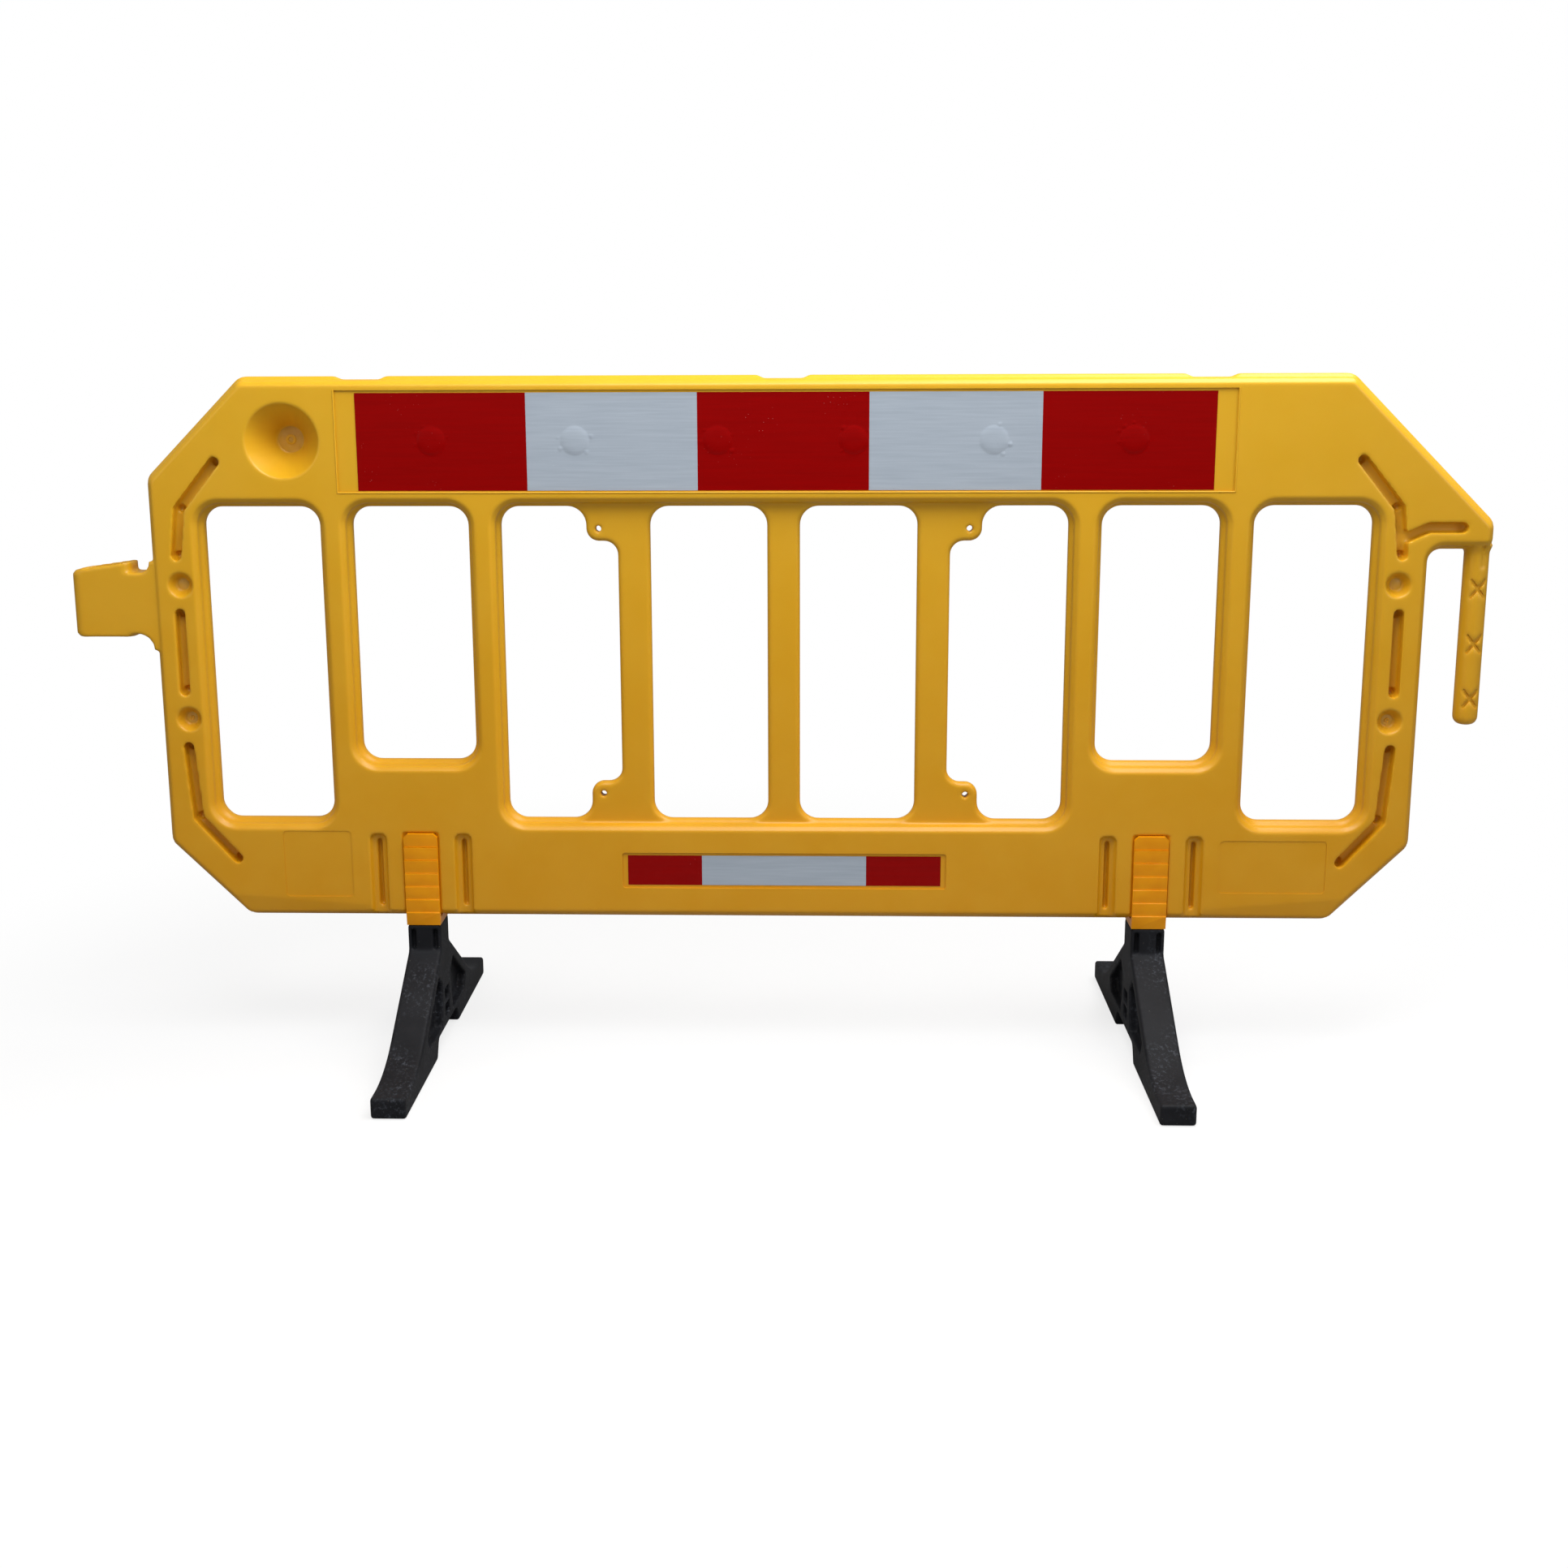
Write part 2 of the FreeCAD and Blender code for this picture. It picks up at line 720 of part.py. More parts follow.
def make_slots():
    """Cutters for the right post's grooves: straight runs, then the pits at their ends."""
    body = new_body("slot_cutters")
    depth = size("slot_depth")
    width = size("slot_width")
    along = half_width - size("slot_inset")
    knee_x = half_width - size("slot_knee_inset")
    end_x = half_width - size("slot_end_inset")
    middle_top = window_top - size("slot_middle_drop")
    middle_bottom = middle_top - size("slot_middle_length")
    lower_top = middle_bottom - size("slot_lower_gap")
    top = (end_x, panel_top - size("slot_top_drop"))
    knee = (knee_x, panel_top - size("slot_knee_drop"))
    upper_end = (along, window_top - size("slot_upper_end_drop"))
    middle_start = (along, middle_top)
    middle_end = (along, middle_bottom)
    lower_start = (along, lower_top)
    lower_knee = (knee_x, lower_top - size("slot_lower_length"))
    lower_end = (end_x, panel_bottom + size("slot_end_rise"))
    first = floor_sketch(body, "slot_runs", depth)
    straight_slot(first, top, knee, width)
    straight_slot(first, middle_start, middle_end, width)
    straight_slot(first, lower_start, lower_knee, width)
    pad(body, first, depth + overcut)
    second = floor_sketch(body, "slot_runs_beyond_the_knees", depth)
    straight_slot(second, knee, upper_end, width)
    straight_slot(second, lower_knee, lower_end, width)
    pad(body, second, depth + overcut)
    pits = floor_sketch(body, "slot_pits", size("slot_pit_depth"))
    for x, z in (top, knee, upper_end, middle_start, middle_end, lower_start, lower_knee,
                 lower_end):
        circle(pits, x, z, size("slot_pit_radius"))
    pad(body, pits, size("slot_pit_depth") - size("slot_depth") + 1)
    return body


def make_arm_slot():
    """The branch of the right post's upper groove, which runs out along the arm."""
    body = new_body("arm_slot_cutter")
    depth = size("slot_depth")
    high = arm_underside + size("arm_slot_rise")
    start = (half_width - size("slot_inset"), arm_underside + size("arm_slot_start_rise"))
    bend = (half_width - size("arm_slot_bend_inset"), high)
    end = (half_width + size("arm_slot_reach"), high)
    for name, ends in (("arm_slot_slope", (start, bend)), ("arm_slot_run", (bend, end))):
        sketch = floor_sketch(body, name, depth)
        straight_slot(sketch, *ends, size("slot_width"))
        pad(body, sketch, depth + overcut)
    return body


def make_flutes():
    """Cutters for the two upright flutes beside each foot clip."""
    body = new_body("flute_cutters")
    half = size("flute_width") / 2
    depth = size("flute_depth")
    top = panel_bottom + size("flute_height")
    sketch = floor_sketch(body, "flutes", depth)
    for side in (-1, 1):
        middle = size("foot_x") + size("flute_offset") * side
        outline(sketch, [(middle - half, panel_bottom - overcut),
                         (middle + half, panel_bottom - overcut),
                         (middle + half, top, size("flute_end_radius")),
                         (middle - half, top, size("flute_end_radius"))])
    pad(body, sketch, depth + overcut)
    chamfer(body, size("flute_floor_chamfer"),
            lambda edge: in_plane(edge, 1, -(half_depth - depth))
            and edge.BoundBox.ZMax > panel_bottom.number, "flute_floors")
    return body


def make_clip_seat():
    """Cutter for the seat of a foot clip: both faces, the underside and the nut's pocket."""
    body = new_body("clip_seat_cutter")
    half = size("clip_width") / 2 + size("clip_gap")
    inner = size("clip_depth") / 2 - size("clip_wall")
    middle = size("foot_x")
    low = size("ground_clearance") - overcut
    sides = new_sketch(body, "clip_seat_front", "XZ_Plane", inner)
    rectangle(sides, middle - half, low, middle + half, clip_top + size("clip_gap"))
    front = pad(body, sides, half_depth)
    mirror(body, [front], "XZ_Plane")
    under = new_sketch(body, "clip_seat_underside", "XY_Plane", low)
    rectangle(under, middle - half, -half_depth - overcut, middle + half,
              half_depth + overcut)
    pad(body, under, clip_web_top - low)
    nut = new_sketch(body, "nut_pocket", "XY_Plane", low)
    circle(nut, middle, 0, size("washer_radius") + size("nut_pocket_clearance"))
    pad(body, nut, clip_web_top + size("washer_thickness") + size("nut_height")
        + size("nut_pocket_headroom") - low)
    return body


def recess_box():
    """Left, bottom, right and top of the recess for the upper sheeting."""
    half = size("sheet_width") * 2.5 + size("recess_side_margin")
    top = panel_top - size("recess_top_inset")
    return -half, top - size("recess_height"), half, top


def lower_recess_box():
    half = (size("lower_sheet_white_width") / 2 + size("lower_sheet_red_width")
            + size("lower_recess_margin"))
    bottom = panel_bottom + size("lower_recess_rise")
    height = size("lower_sheet_height") + size("lower_recess_rim") * 2
    return -half, bottom, half, bottom + height


def make_recesses():
    """Cutters for the shallow recesses that take the sheeting."""
    body = new_body("recess_cutters")
    for name, box, depth in (("sheet_recess", recess_box(), size("recess_depth")),
                             ("lower_sheet_recess", lower_recess_box(),
                              size("lower_recess_depth"))):
        sketch = floor_sketch(body, name, depth)
        rectangle(sketch, *box)
        pad(body, sketch, depth + overcut)
    return body


def make_frames():
    """Cutters for the two plain sunken frames at the ends of the lower rail."""
    body = new_body("frame_cutters")
    sketch = floor_sketch(body, "sunken_frames", size("frame_depth"))
    left = -size("foot_x") - size("left_frame_gap")
    left_low = panel_bottom + size("left_frame_rise")
    rectangle(sketch, left - size("left_frame_width"), left_low, left,
              left_low + size("left_frame_height"), size("frame_radius"))
    right = size("foot_x") + size("right_frame_gap")
    right_low = panel_bottom + size("right_frame_rise")
    rectangle(sketch, right, right_low, right + size("right_frame_width"),
              right_low + size("right_frame_height"), size("frame_radius"))
    pad(body, sketch, size("frame_depth") + overcut)
    return body


def make_notches():
    """Cutters for the three shallow notches in the top edge."""
    body = new_body("notch_cutters")
    sketch = new_sketch(body, "top_notches", "XZ_Plane")
    floor = panel_top - size("notch_depth")
    high = panel_top + overcut
    half = size("notch_half_width")
    taper = size("notch_taper")
    for middle in (-size("notch_x"), none, size("notch_x")):
        outline(sketch, [(middle - half + taper, floor), (middle + half - taper, floor),
                         (middle + half + taper, high), (middle - half - taper, high)])
    pad(body, sketch, size("panel_depth"), symmetric=True)
    return body


def make_peg_cuts():
    """Cutters for the three crosses down the peg and the short groove above them."""
    body = new_body("peg_cutters")
    middle = arm_reach - size("peg_inset")
    across = size("peg_cross_width") / 2
    up = size("peg_cross_height") / 2
    floor = size("peg_radius") - size("peg_cross_depth")
    for name, lean in (("peg_cross_up", 1), ("peg_cross_down", -1)):
        sketch = new_sketch(body, name, "XZ_Plane", floor)
        for step in range(3):
            z = arm_underside - size("peg_cross_drop") - size("peg_cross_spacing") * step
            straight_slot(sketch, (middle - across, z - up * lean),
                          (middle + across, z + up * lean), size("peg_cross_groove"))
        pad(body, sketch, size("peg_cross_depth") + overcut)
    depth = size("peg_groove_depth")
    groove = new_sketch(body, "peg_groove", "XZ_Plane", size("peg_radius") - depth)
    beside = middle + size("peg_groove_offset")
    top = arm_underside + size("rim_step") / 2
    straight_slot(groove, (beside, top - size("peg_groove_length")), (beside, top),
                  size("peg_groove_width"))
    pad(body, groove, depth + overcut)
    return body


def make_dimples():
    """Cutters for the round dimples of the right post, between its grooves' ends."""
    x = half_width - size("dimple_inset")
    middle_top = window_top - size("slot_middle_drop")
    middle_bottom = middle_top - size("slot_middle_length")
    upper = (window_top - size("slot_upper_end_drop") + middle_top) / 2
    lower = middle_bottom - size("slot_lower_gap") / 2
    return [cone(name, x, z, size("dimple_depth"), size("dimple_floor_radius"),
                 size("dimple_radius"))
            for name, z in (("upper_dimple", upper), ("lower_dimple", lower))]


def make_lamp_dimple():
    """The cutter for the deep dimple at the left of the sheeting."""
    left, bottom, right, top = recess_box()
    return cone("lamp_dimple", left - size("lamp_gap"), panel_top - size("lamp_drop"),
                size("panel_depth") - size("lamp_floor"), size("lamp_floor_radius"),
                size("lamp_radius"))


def make_panel():
    blank = fuse("panel_blank", make_web(), make_core(), make_socket(), make_peg())
    cutters = both_sides("slots", make_slots()) + [make_arm_slot(), make_lamp_dimple()]
    for dimple in make_dimples():
        cutters += both_sides(dimple.Name, dimple)
    cutters += both_faces("flutes", both_sides("flutes", make_flutes()))
    cutters += both_sides("clip_seat", make_clip_seat())
    cutters += [make_recesses(), make_frames(), make_notches(), make_peg_cuts()]
    panel = cut("barrier_panel", blank, fuse("panel_cutters", *cutters))
    place(panel)
    return panel


# The sheeting

def make_sheet(label, left, right, bottom, top, recess):
    """One piece of sheeting, lying on the floor of its recess."""
    body = new_body(label)
    sketch = new_sketch(body, label + "_outline", "XZ_Plane", half_depth - recess)
    rectangle(sketch, left, bottom, right, top)
    pad(body, sketch, size("sheet_thickness"))
    place(body)
    return body


def make_upper_sheets():
    labels = ("upper_sheet_red_left", "upper_sheet_white_left", "upper_sheet_red_centre",
              "upper_sheet_white_right", "upper_sheet_red_right")
    sheets = []
    bottom = recess_box()[1] + size("recess_bottom_margin")
    for number, label in enumerate(labels):
        left = size("sheet_width") * (number - 2.5)
        sheets.append(make_sheet(label, left, left + size("sheet_width"), bottom,
                                 bottom + size("sheet_height"), size("recess_depth")))
    return sheets


def make_lower_sheets():
    inner = size("lower_sheet_white_width") / 2
    outer = inner + size("lower_sheet_red_width")
    bottom = lower_recess_box()[1] + size("lower_recess_rim")
    spans = (("lower_sheet_red_left", -outer, -inner), ("lower_sheet_white", -inner, inner),
             ("lower_sheet_red_right", inner, outer))
    return [make_sheet(label, left, right, bottom, bottom + size("lower_sheet_height"),
                       size("lower_recess_depth"))
            for label, left, right in spans]


# The feet and what holds them, drawn about the swivel axis

def make_clip(label, x):
    """The saddle clip that straddles the lower rail, ribbed across its face."""
    body = new_body(label)
    bottom = size("ground_clearance")
    half_y = size("clip_depth") / 2
    inner = half_y - size("clip_wall")
    low = size("clip_foot_radius")
    saddle = new_sketch(body, label + "_saddle", "YZ_Plane")
    outline(saddle, [(-half_y, bottom, low), (half_y, bottom, low), (half_y, clip_top),
                     (inner, clip_top), (inner, clip_web_top), (-inner, clip_web_top),
                     (-inner, clip_top), (-half_y, clip_top)])
    pad(body, saddle, size("clip_width"), symmetric=True)
    chamfer(body, size("clip_top_chamfer"),
            lambda edge: in_plane(edge, 2, clip_top)
            and abs(edge.BoundBox.XMax - edge.BoundBox.XMin) < 1e-3, "clip_top_corners")
    ribs = new_sketch(body, label + "_rib_grooves", "YZ_Plane")
    deep = half_y - size("clip_rib_depth")
    count = int(size("clip_height").number / size("clip_rib_pitch").number)
    for step in range(1, count):
        z = bottom + size("clip_rib_pitch") * step
        outline(ribs, [(-deep, z), (-half_y - overcut, z - size("clip_rib_drop")),
                       (-half_y - overcut, z + size("clip_rib_rise"))])
    grooves = pocket(body, ribs, size("clip_width") + overcut, symmetric=True)
    mirror(body, [grooves], "XZ_Plane")
    bore = new_sketch(body, label + "_bolt_hole", "XY_Plane", bottom)
    circle(bore, 0, 0, size("bolt_radius") + size("bolt_hole_clearance"))
    pocket(body, bore, size("clip_web") * 2, symmetric=True)
    place(body, x)
    return body


foot_top = size("ground_clearance") - size("running_gap")
foot_half_block = size("foot_block_depth") / 2
foot_shoulder = foot_top - size("foot_block_height")
foot_toe_y = size("foot_length") / 2 - size("foot_toe_length")


def foot_profile():
    """Half of the foot's side outline, from the arch to the top block."""
    half = size("foot_length") / 2
    toe = size("foot_toe_height")
    rounded = size("foot_toe_radius")
    return [(size("foot_arch_half_width"), 0), (half, 0, rounded), (half, toe, rounded),
            (foot_toe_y, toe, size("foot_slope_radius")),
            (foot_half_block, foot_shoulder, size("foot_block_radius")),
            (foot_half_block, foot_top)]


def on_slope(share):
    """A point on the foot's slope, at a share of the way down, lowered by the skin."""
    return (foot_half_block + (foot_toe_y - foot_half_block) * share,
            foot_shoulder - (foot_shoulder - size("foot_toe_height")) * share
            - size("foot_skin"))


def side_pocket_corners():
    """The pocket in a foot's side, between the swivel's boss, the slope and the arch."""
    rounded = size("foot_pocket_radius")
    boss = size("foot_bore_radius") + size("foot_rib")
    floor = size("foot_arch_height") + size("foot_floor_rib")
    upper = on_slope(0.12)
    lower = on_slope(0.62)
    return [(boss, upper[1] - size("foot_skin"), rounded), upper + (rounded,),
            lower + (rounded,), (lower[0] - size("foot_arch_draft"), floor, rounded),
            (boss + size("foot_arch_draft"), floor, rounded)]


def make_foot(label, x):
    """The rubber foot: a swept spine over an arch, with pockets either side of its web."""
    body = new_body(label)
    half_x = size("foot_width") / 2
    roof = size("foot_arch_half_width") - size("foot_arch_draft")
    right = [(roof, size("foot_arch_height"), size("foot_arch_radius"))] + foot_profile()
    left = [(-corner[0],) + corner[1:] for corner in reversed(right)]
    side = new_sketch(body, label + "_side", "YZ_Plane")
    outline(side, right + left)
    pad(body, side, size("foot_width"), symmetric=True)
    chamfer(body, size("foot_edge_chamfer"),
            lambda edge: on_both_faces(edge, 0, half_x)
            and edge.BoundBox.ZMax > size("foot_arch_height").number + 1, "foot_edges")
    pockets = new_sketch(body, label + "_side_pocket", "YZ_Plane", half_x)
    corners = side_pocket_corners()
    outline(pockets, corners)
    outline(pockets, [(-corner[0],) + corner[1:] for corner in reversed(corners)])
    mirror(body, [pocket(body, pockets, size("foot_pocket_depth"))], "YZ_Plane")
    windows = new_sketch(body, label + "_side_windows", "YZ_Plane")
    across = size("foot_window_width") / 2
    low = size("foot_arch_height") + size("foot_window_rise")
    for step in range(2):
        bottom = low + (size("foot_window_height") + size("foot_window_gap")) * step
        rectangle(windows, -across, bottom, across, bottom + size("foot_window_height"))
    pocket(body, windows, size("foot_width") + overcut, symmetric=True)
    slots = new_sketch(body, label + "_block_slots", "XZ_Plane",
                       foot_half_block - size("foot_slot_depth"))
    half_slot = size("foot_slot_width") / 2
    for turn in (-1, 1):
        middle = size("foot_slot_x") * turn
        rectangle(slots, middle - half_slot, foot_shoulder + 2, middle + half_slot,
                  foot_top - size("foot_slot_margin"))
    mirror(body, [pocket(body, slots, size("foot_slot_depth") + overcut, reverse=True)],
           "XZ_Plane")
    bore = new_sketch(body, label + "_bore", "XY_Plane")
    circle(bore, 0, 0, size("foot_bore_radius"))
    pocket(body, bore, foot_top - size("bush_length"), reverse=True)
    seat = new_sketch(body, label + "_bush_seat", "XY_Plane")
    circle(seat, 0, 0, size("bush_radius"))
    pocket(body, seat, foot_top + overcut, reverse=True)
    place(body, x)
    return body


def make_tube(label, x, low, high, outer, inner=None):
    """A round piece on the swivel axis, drilled if it has an inner radius."""
    body = new_body(label)
    sketch = new_sketch(body, label + "_ring", "XY_Plane", low)
    circle(sketch, 0, 0, outer)
    if inner is not None:
        circle(sketch, 0, 0, inner)
    pad(body, sketch, high - low)
    place(body, x)
    return body


def make_bolt(label, x, head_bottom, shank_top):
    """A hexagon-headed bolt, head down."""
    body = new_body(label)
    head = new_sketch(body, label + "_head", "XY_Plane", head_bottom)
    hexagon(head, size("bolt_head_radius"))
    pad(body, head, size("bolt_head_height"))
    shank = new_sketch(body, label + "_shank", "XY_Plane", head_bottom)
    circle(shank, 0, 0, size("bolt_radius"))
    pad(body, shank, shank_top - head_bottom)
    place(body, x)
    return body


def make_nut(label, x, low):
    """A hexagon nut."""
    body = new_body(label)
    sketch = new_sketch(body, label + "_hexagon", "XY_Plane", low)
    hexagon(sketch, size("nut_radius"))
    circle(sketch, 0, 0, size("bolt_radius"))
    pad(body, sketch, size("nut_height"))
    place(body, x)
    return body


def make_swivel(side, x):
    """A clip, its foot, and the bolt, bush, washers and nut between them."""
    gap = size("running_gap")
    bush_top = foot_top
    bush_bottom = foot_top - size("bush_length")
    washer = size("washer_thickness")
    head_top = bush_bottom - gap - washer
    nut_low = clip_web_top + washer
    hole = size("bolt_radius") + size("bolt_hole_clearance")
    return [
        make_clip(side + "_foot_clip", x),
        make_foot(side + "_foot", x),
        make_tube(side + "_foot_bush", x, bush_bottom, bush_top, size("bush_radius"),
                  size("bolt_radius") + size("bolt_running_fit")),
        make_bolt(side + "_swivel_bolt", x, head_top - size("bolt_head_height"),
                  nut_low + size("nut_height") + size("bolt_end_length")),
        make_tube(side + "_head_washer", x, head_top, head_top + washer,
                  size("washer_radius"), hole),
        make_tube(side + "_nut_washer", x, clip_web_top, nut_low, size("washer_radius"), hole),
        make_nut(side + "_lock_nut", x, nut_low),
    ]


parts = [make_panel()]
parts += make_upper_sheets() + make_lower_sheets()
parts += make_swivel("left", -size("foot_x")) + make_swivel("right", size("foot_x"))
doc.recompute()

for thing in doc.Objects:
    if "Invalid" in thing.State or "Error" in thing.State:
        raise RuntimeError(thing.Label + " has failed")
for part in parts:
    if part.Shape.isNull() or not part.Shape.isValid():
        raise RuntimeError(part.Label + " has no valid shape")

os.makedirs("parts", exist_ok=True)
for part in parts:
    part.Shape.exportStep("parts/%s.step" % part.Label)
    print(part.Label, len(part.Shape.Solids), round(part.Shape.Volume / 1000, 1), "cm3")
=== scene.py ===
import math
import random

import bmesh
import bpy
import numpy as np
from mathutils import Matrix, Vector


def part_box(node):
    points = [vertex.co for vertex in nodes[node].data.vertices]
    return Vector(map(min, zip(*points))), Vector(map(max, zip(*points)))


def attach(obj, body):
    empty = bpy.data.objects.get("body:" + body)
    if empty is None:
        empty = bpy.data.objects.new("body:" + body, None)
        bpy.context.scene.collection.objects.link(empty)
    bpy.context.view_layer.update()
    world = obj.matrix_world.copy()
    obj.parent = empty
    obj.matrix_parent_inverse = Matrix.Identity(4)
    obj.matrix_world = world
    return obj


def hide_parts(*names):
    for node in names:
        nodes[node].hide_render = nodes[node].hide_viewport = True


# A moulded road barrier panel on two swivelling rubber feet.
# Lengths are in millimetres where a name ends in _mm, and in metres elsewhere.

MM = 0.001

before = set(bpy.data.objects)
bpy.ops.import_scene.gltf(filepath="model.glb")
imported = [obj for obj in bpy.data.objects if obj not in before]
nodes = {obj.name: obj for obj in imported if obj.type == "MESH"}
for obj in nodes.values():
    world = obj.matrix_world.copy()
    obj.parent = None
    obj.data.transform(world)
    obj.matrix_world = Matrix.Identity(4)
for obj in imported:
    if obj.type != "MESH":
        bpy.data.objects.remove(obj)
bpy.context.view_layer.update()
random.seed(7)


# Geometry helpers

def link(name, mesh):
    piece = bpy.data.objects.new(name, mesh)
    bpy.context.scene.collection.objects.link(piece)
    return piece


def settle(piece):
    """Makes the mesh that the modifiers give the piece's own mesh."""
    view = bpy.context.evaluated_depsgraph_get()
    view.update()
    mesh = bpy.data.meshes.new_from_object(piece.evaluated_get(view))
    piece.modifiers.clear()
    piece.data = mesh
    return piece


def box_mesh(low, high, corner_mm=0):
    """A closed block between two corners, its upright front edges rounded."""
    form = bmesh.new()
    bmesh.ops.create_cube(form, size=1)
    centre = (Vector(low) + Vector(high)) / 2
    size = Vector(high) - Vector(low)
    for vertex in form.verts:
        vertex.co = Vector([centre[i] + vertex.co[i] * size[i] for i in range(3)])
    if corner_mm:
        edges = [edge for edge in form.edges
                 if abs((edge.verts[0].co - edge.verts[1].co).normalized().y) > 0.9]
        bmesh.ops.bevel(form, geom=edges, offset=corner_mm * MM, segments=6,
                        affect="EDGES", profile=0.5)
    mesh = bpy.data.meshes.new("block")
    form.to_mesh(mesh)
    form.free()
    return mesh


def slanted_block(left, right, bottoms, tops, flat_y, slope):
    """A block with one flat and one leaning face: bottoms and tops give the heights of its left
    and right ends, and slope gives the Y of the leaning face's four corners, from the lower left
    one round to the upper left one."""
    x = (left, right, right, left)
    z = (bottoms[0], bottoms[1], tops[1], tops[0])
    corners = [(x[i], flat_y, z[i]) for i in range(4)] + [(x[i], slope[i], z[i]) for i in range(4)]
    faces = [(0, 1, 2, 3), (7, 6, 5, 4), (0, 4, 5, 1), (1, 5, 6, 2), (2, 6, 7, 3), (3, 7, 4, 0)]
    mesh = bpy.data.meshes.new("block")
    mesh.from_pydata(corners, [], faces)
    return mesh


def joined(meshes):
    """One mesh of several closed ones, with the seams of each welded."""
    weld_mm = 0.0005
    form = bmesh.new()
    for mesh in meshes:
        form.from_mesh(mesh)
    bmesh.ops.remove_doubles(form, verts=form.verts, dist=weld_mm * MM)
    bmesh.ops.recalc_face_normals(form, faces=form.faces)
    whole = bpy.data.meshes.new("joined")
    form.to_mesh(whole)
    form.free()
    return whole


def cut_out(skin, mesh):
    """Cuts a block out of the skin, with crisp edges."""
    cutter = link("cutter", mesh)
    boolean = skin.modifiers.new("cut", "BOOLEAN")
    boolean.operation = "DIFFERENCE"
    boolean.solver = "EXACT"
    boolean.object = cutter
    settle(skin)
    bpy.data.objects.remove(cutter)


def soft_skin(name, node, voxel_mm, rounds, fillers=(), grooves=(), share=1.0):
    """A moulded skin over a solid: the same form, with every edge drawn soft. Fillers are
    added first and grooves cut first, and share is how much of the fine mesh stays."""
    skin = link(name, joined([nodes[node].data]))
    if grooves:
        cut_out(skin, joined(grooves))
    skin.data = joined([skin.data] + list(fillers))
    remesh = skin.modifiers.new("skin", "REMESH")
    remesh.mode = "VOXEL"
    remesh.voxel_size = voxel_mm * MM
    soften = skin.modifiers.new("soften", "SMOOTH")
    soften.factor = 0.5
    soften.iterations = rounds
    if share < 1:
        lighten = skin.modifiers.new("lighten", "DECIMATE")
        lighten.ratio = share
    return settle(skin)


def turned(name, profile_mm, centre):
    """A round piece about a front-to-back axis, from (radius, height towards the front)."""
    steps = 48
    form = bmesh.new()
    rings = []
    for radius, height in profile_mm:
        ring = []
        for step in range(steps):
            angle = 2 * math.pi * step / steps
            ring.append(form.verts.new((centre[0] + radius * MM * math.cos(angle),
                                        centre[1] - height * MM,
                                        centre[2] + radius * MM * math.sin(angle))))
        rings.append(ring)
    for inner, outer in zip(rings, rings[1:]):
        for step in range(steps):
            after = (step + 1) % steps
            form.faces.new((inner[step], inner[after], outer[after], outer[step]))
    form.faces.new(rings[0][::-1])
    form.faces.new(rings[-1])
    bmesh.ops.recalc_face_normals(form, faces=form.faces)
    mesh = bpy.data.meshes.new(name)
    form.to_mesh(mesh)
    form.free()
    return link(name, mesh)


def shade(piece, sharp_degrees):
    """Smooth shading, apart from edges that turn by more than this."""
    for polygon in piece.data.polygons:
        polygon.use_smooth = True
    piece.data.set_sharp_from_angle(angle=math.radians(sharp_degrees))


def finish_piece(piece, material, body, slot, *replaced):
    piece.data.materials.clear()
    piece.data.materials.append(material)
    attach(piece, body)
    if replaced:
        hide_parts(*replaced)
    return piece


# Material helpers

def colour(code):
    """The linear colour of an sRGB hex value."""
    parts = [int(code[i:i + 2], 16) / 255 for i in (1, 3, 5)]
    linear = [p / 12.92 if p <= 0.04045 else ((p + 0.055) / 1.055) ** 2.4 for p in parts]
    return (*linear, 1.0)


def add(tree, kind, inputs=None, **settings):
    """Adds a node with its settings, and sets or links its inputs."""
    node = tree.nodes.new(kind)
    for name, value in settings.items():
        setattr(node, name, value)
    for name, value in (inputs or {}).items():
        if isinstance(value, bpy.types.NodeSocket):
            tree.links.new(value, node.inputs[name])
        else:
            node.inputs[name].default_value = value
    return node


def blank_material(name, **shader):
    """A material with only its shader: returns it with its tree, shader and coordinates."""
    material = bpy.data.materials.new(name)
    material.use_nodes = True
    tree = material.node_tree
    tree.nodes.clear()
    surface = add(tree, "ShaderNodeBsdfPrincipled", shader)
    add(tree, "ShaderNodeOutputMaterial", {"Surface": surface.outputs["BSDF"]})
    place = add(tree, "ShaderNodeTexCoord").outputs["Object"]
    return material, tree, surface, place


def patches(tree, place, grain_mm, detail=2.0, roughness=0.5, stretch=(1, 1, 1)):
    """An uneven level from 0 to 1, in patches about this many millimetres across."""
    spread = add(tree, "ShaderNodeMapping", {"Vector": place, "Scale": stretch})
    return add(tree, "ShaderNodeTexNoise",
               {"Vector": spread.outputs["Vector"], "Scale": 1 / (grain_mm * MM),
                "Detail": detail, "Roughness": roughness}).outputs["Fac"]


def two_tone(tree, level, between, under, over, most=1.0):
    """Lays one colour over another, more of it as the level rises between two values."""
    share = add(tree, "ShaderNodeMapRange", {"Value": level, 1: between[0], 2: between[1],
                                             3: 0.0, 4: most}).outputs[0]
    return add(tree, "ShaderNodeMix", {0: share, 6: under, 7: over}, data_type="RGBA").outputs[2]


def specks(tree, place, spacing_mm, size_mm):
    """1 inside sparse round specks, and 0 between them."""
    cells = add(tree, "ShaderNodeTexVoronoi", {"Vector": place, "Scale": 1 / (spacing_mm * MM)})
    edge = size_mm / spacing_mm / 2
    return add(tree, "ShaderNodeMapRange",
               {"Value": cells.outputs["Distance"], 1: edge, 2: edge * 0.6,
                3: 0.0, 4: 1.0}).outputs[0]


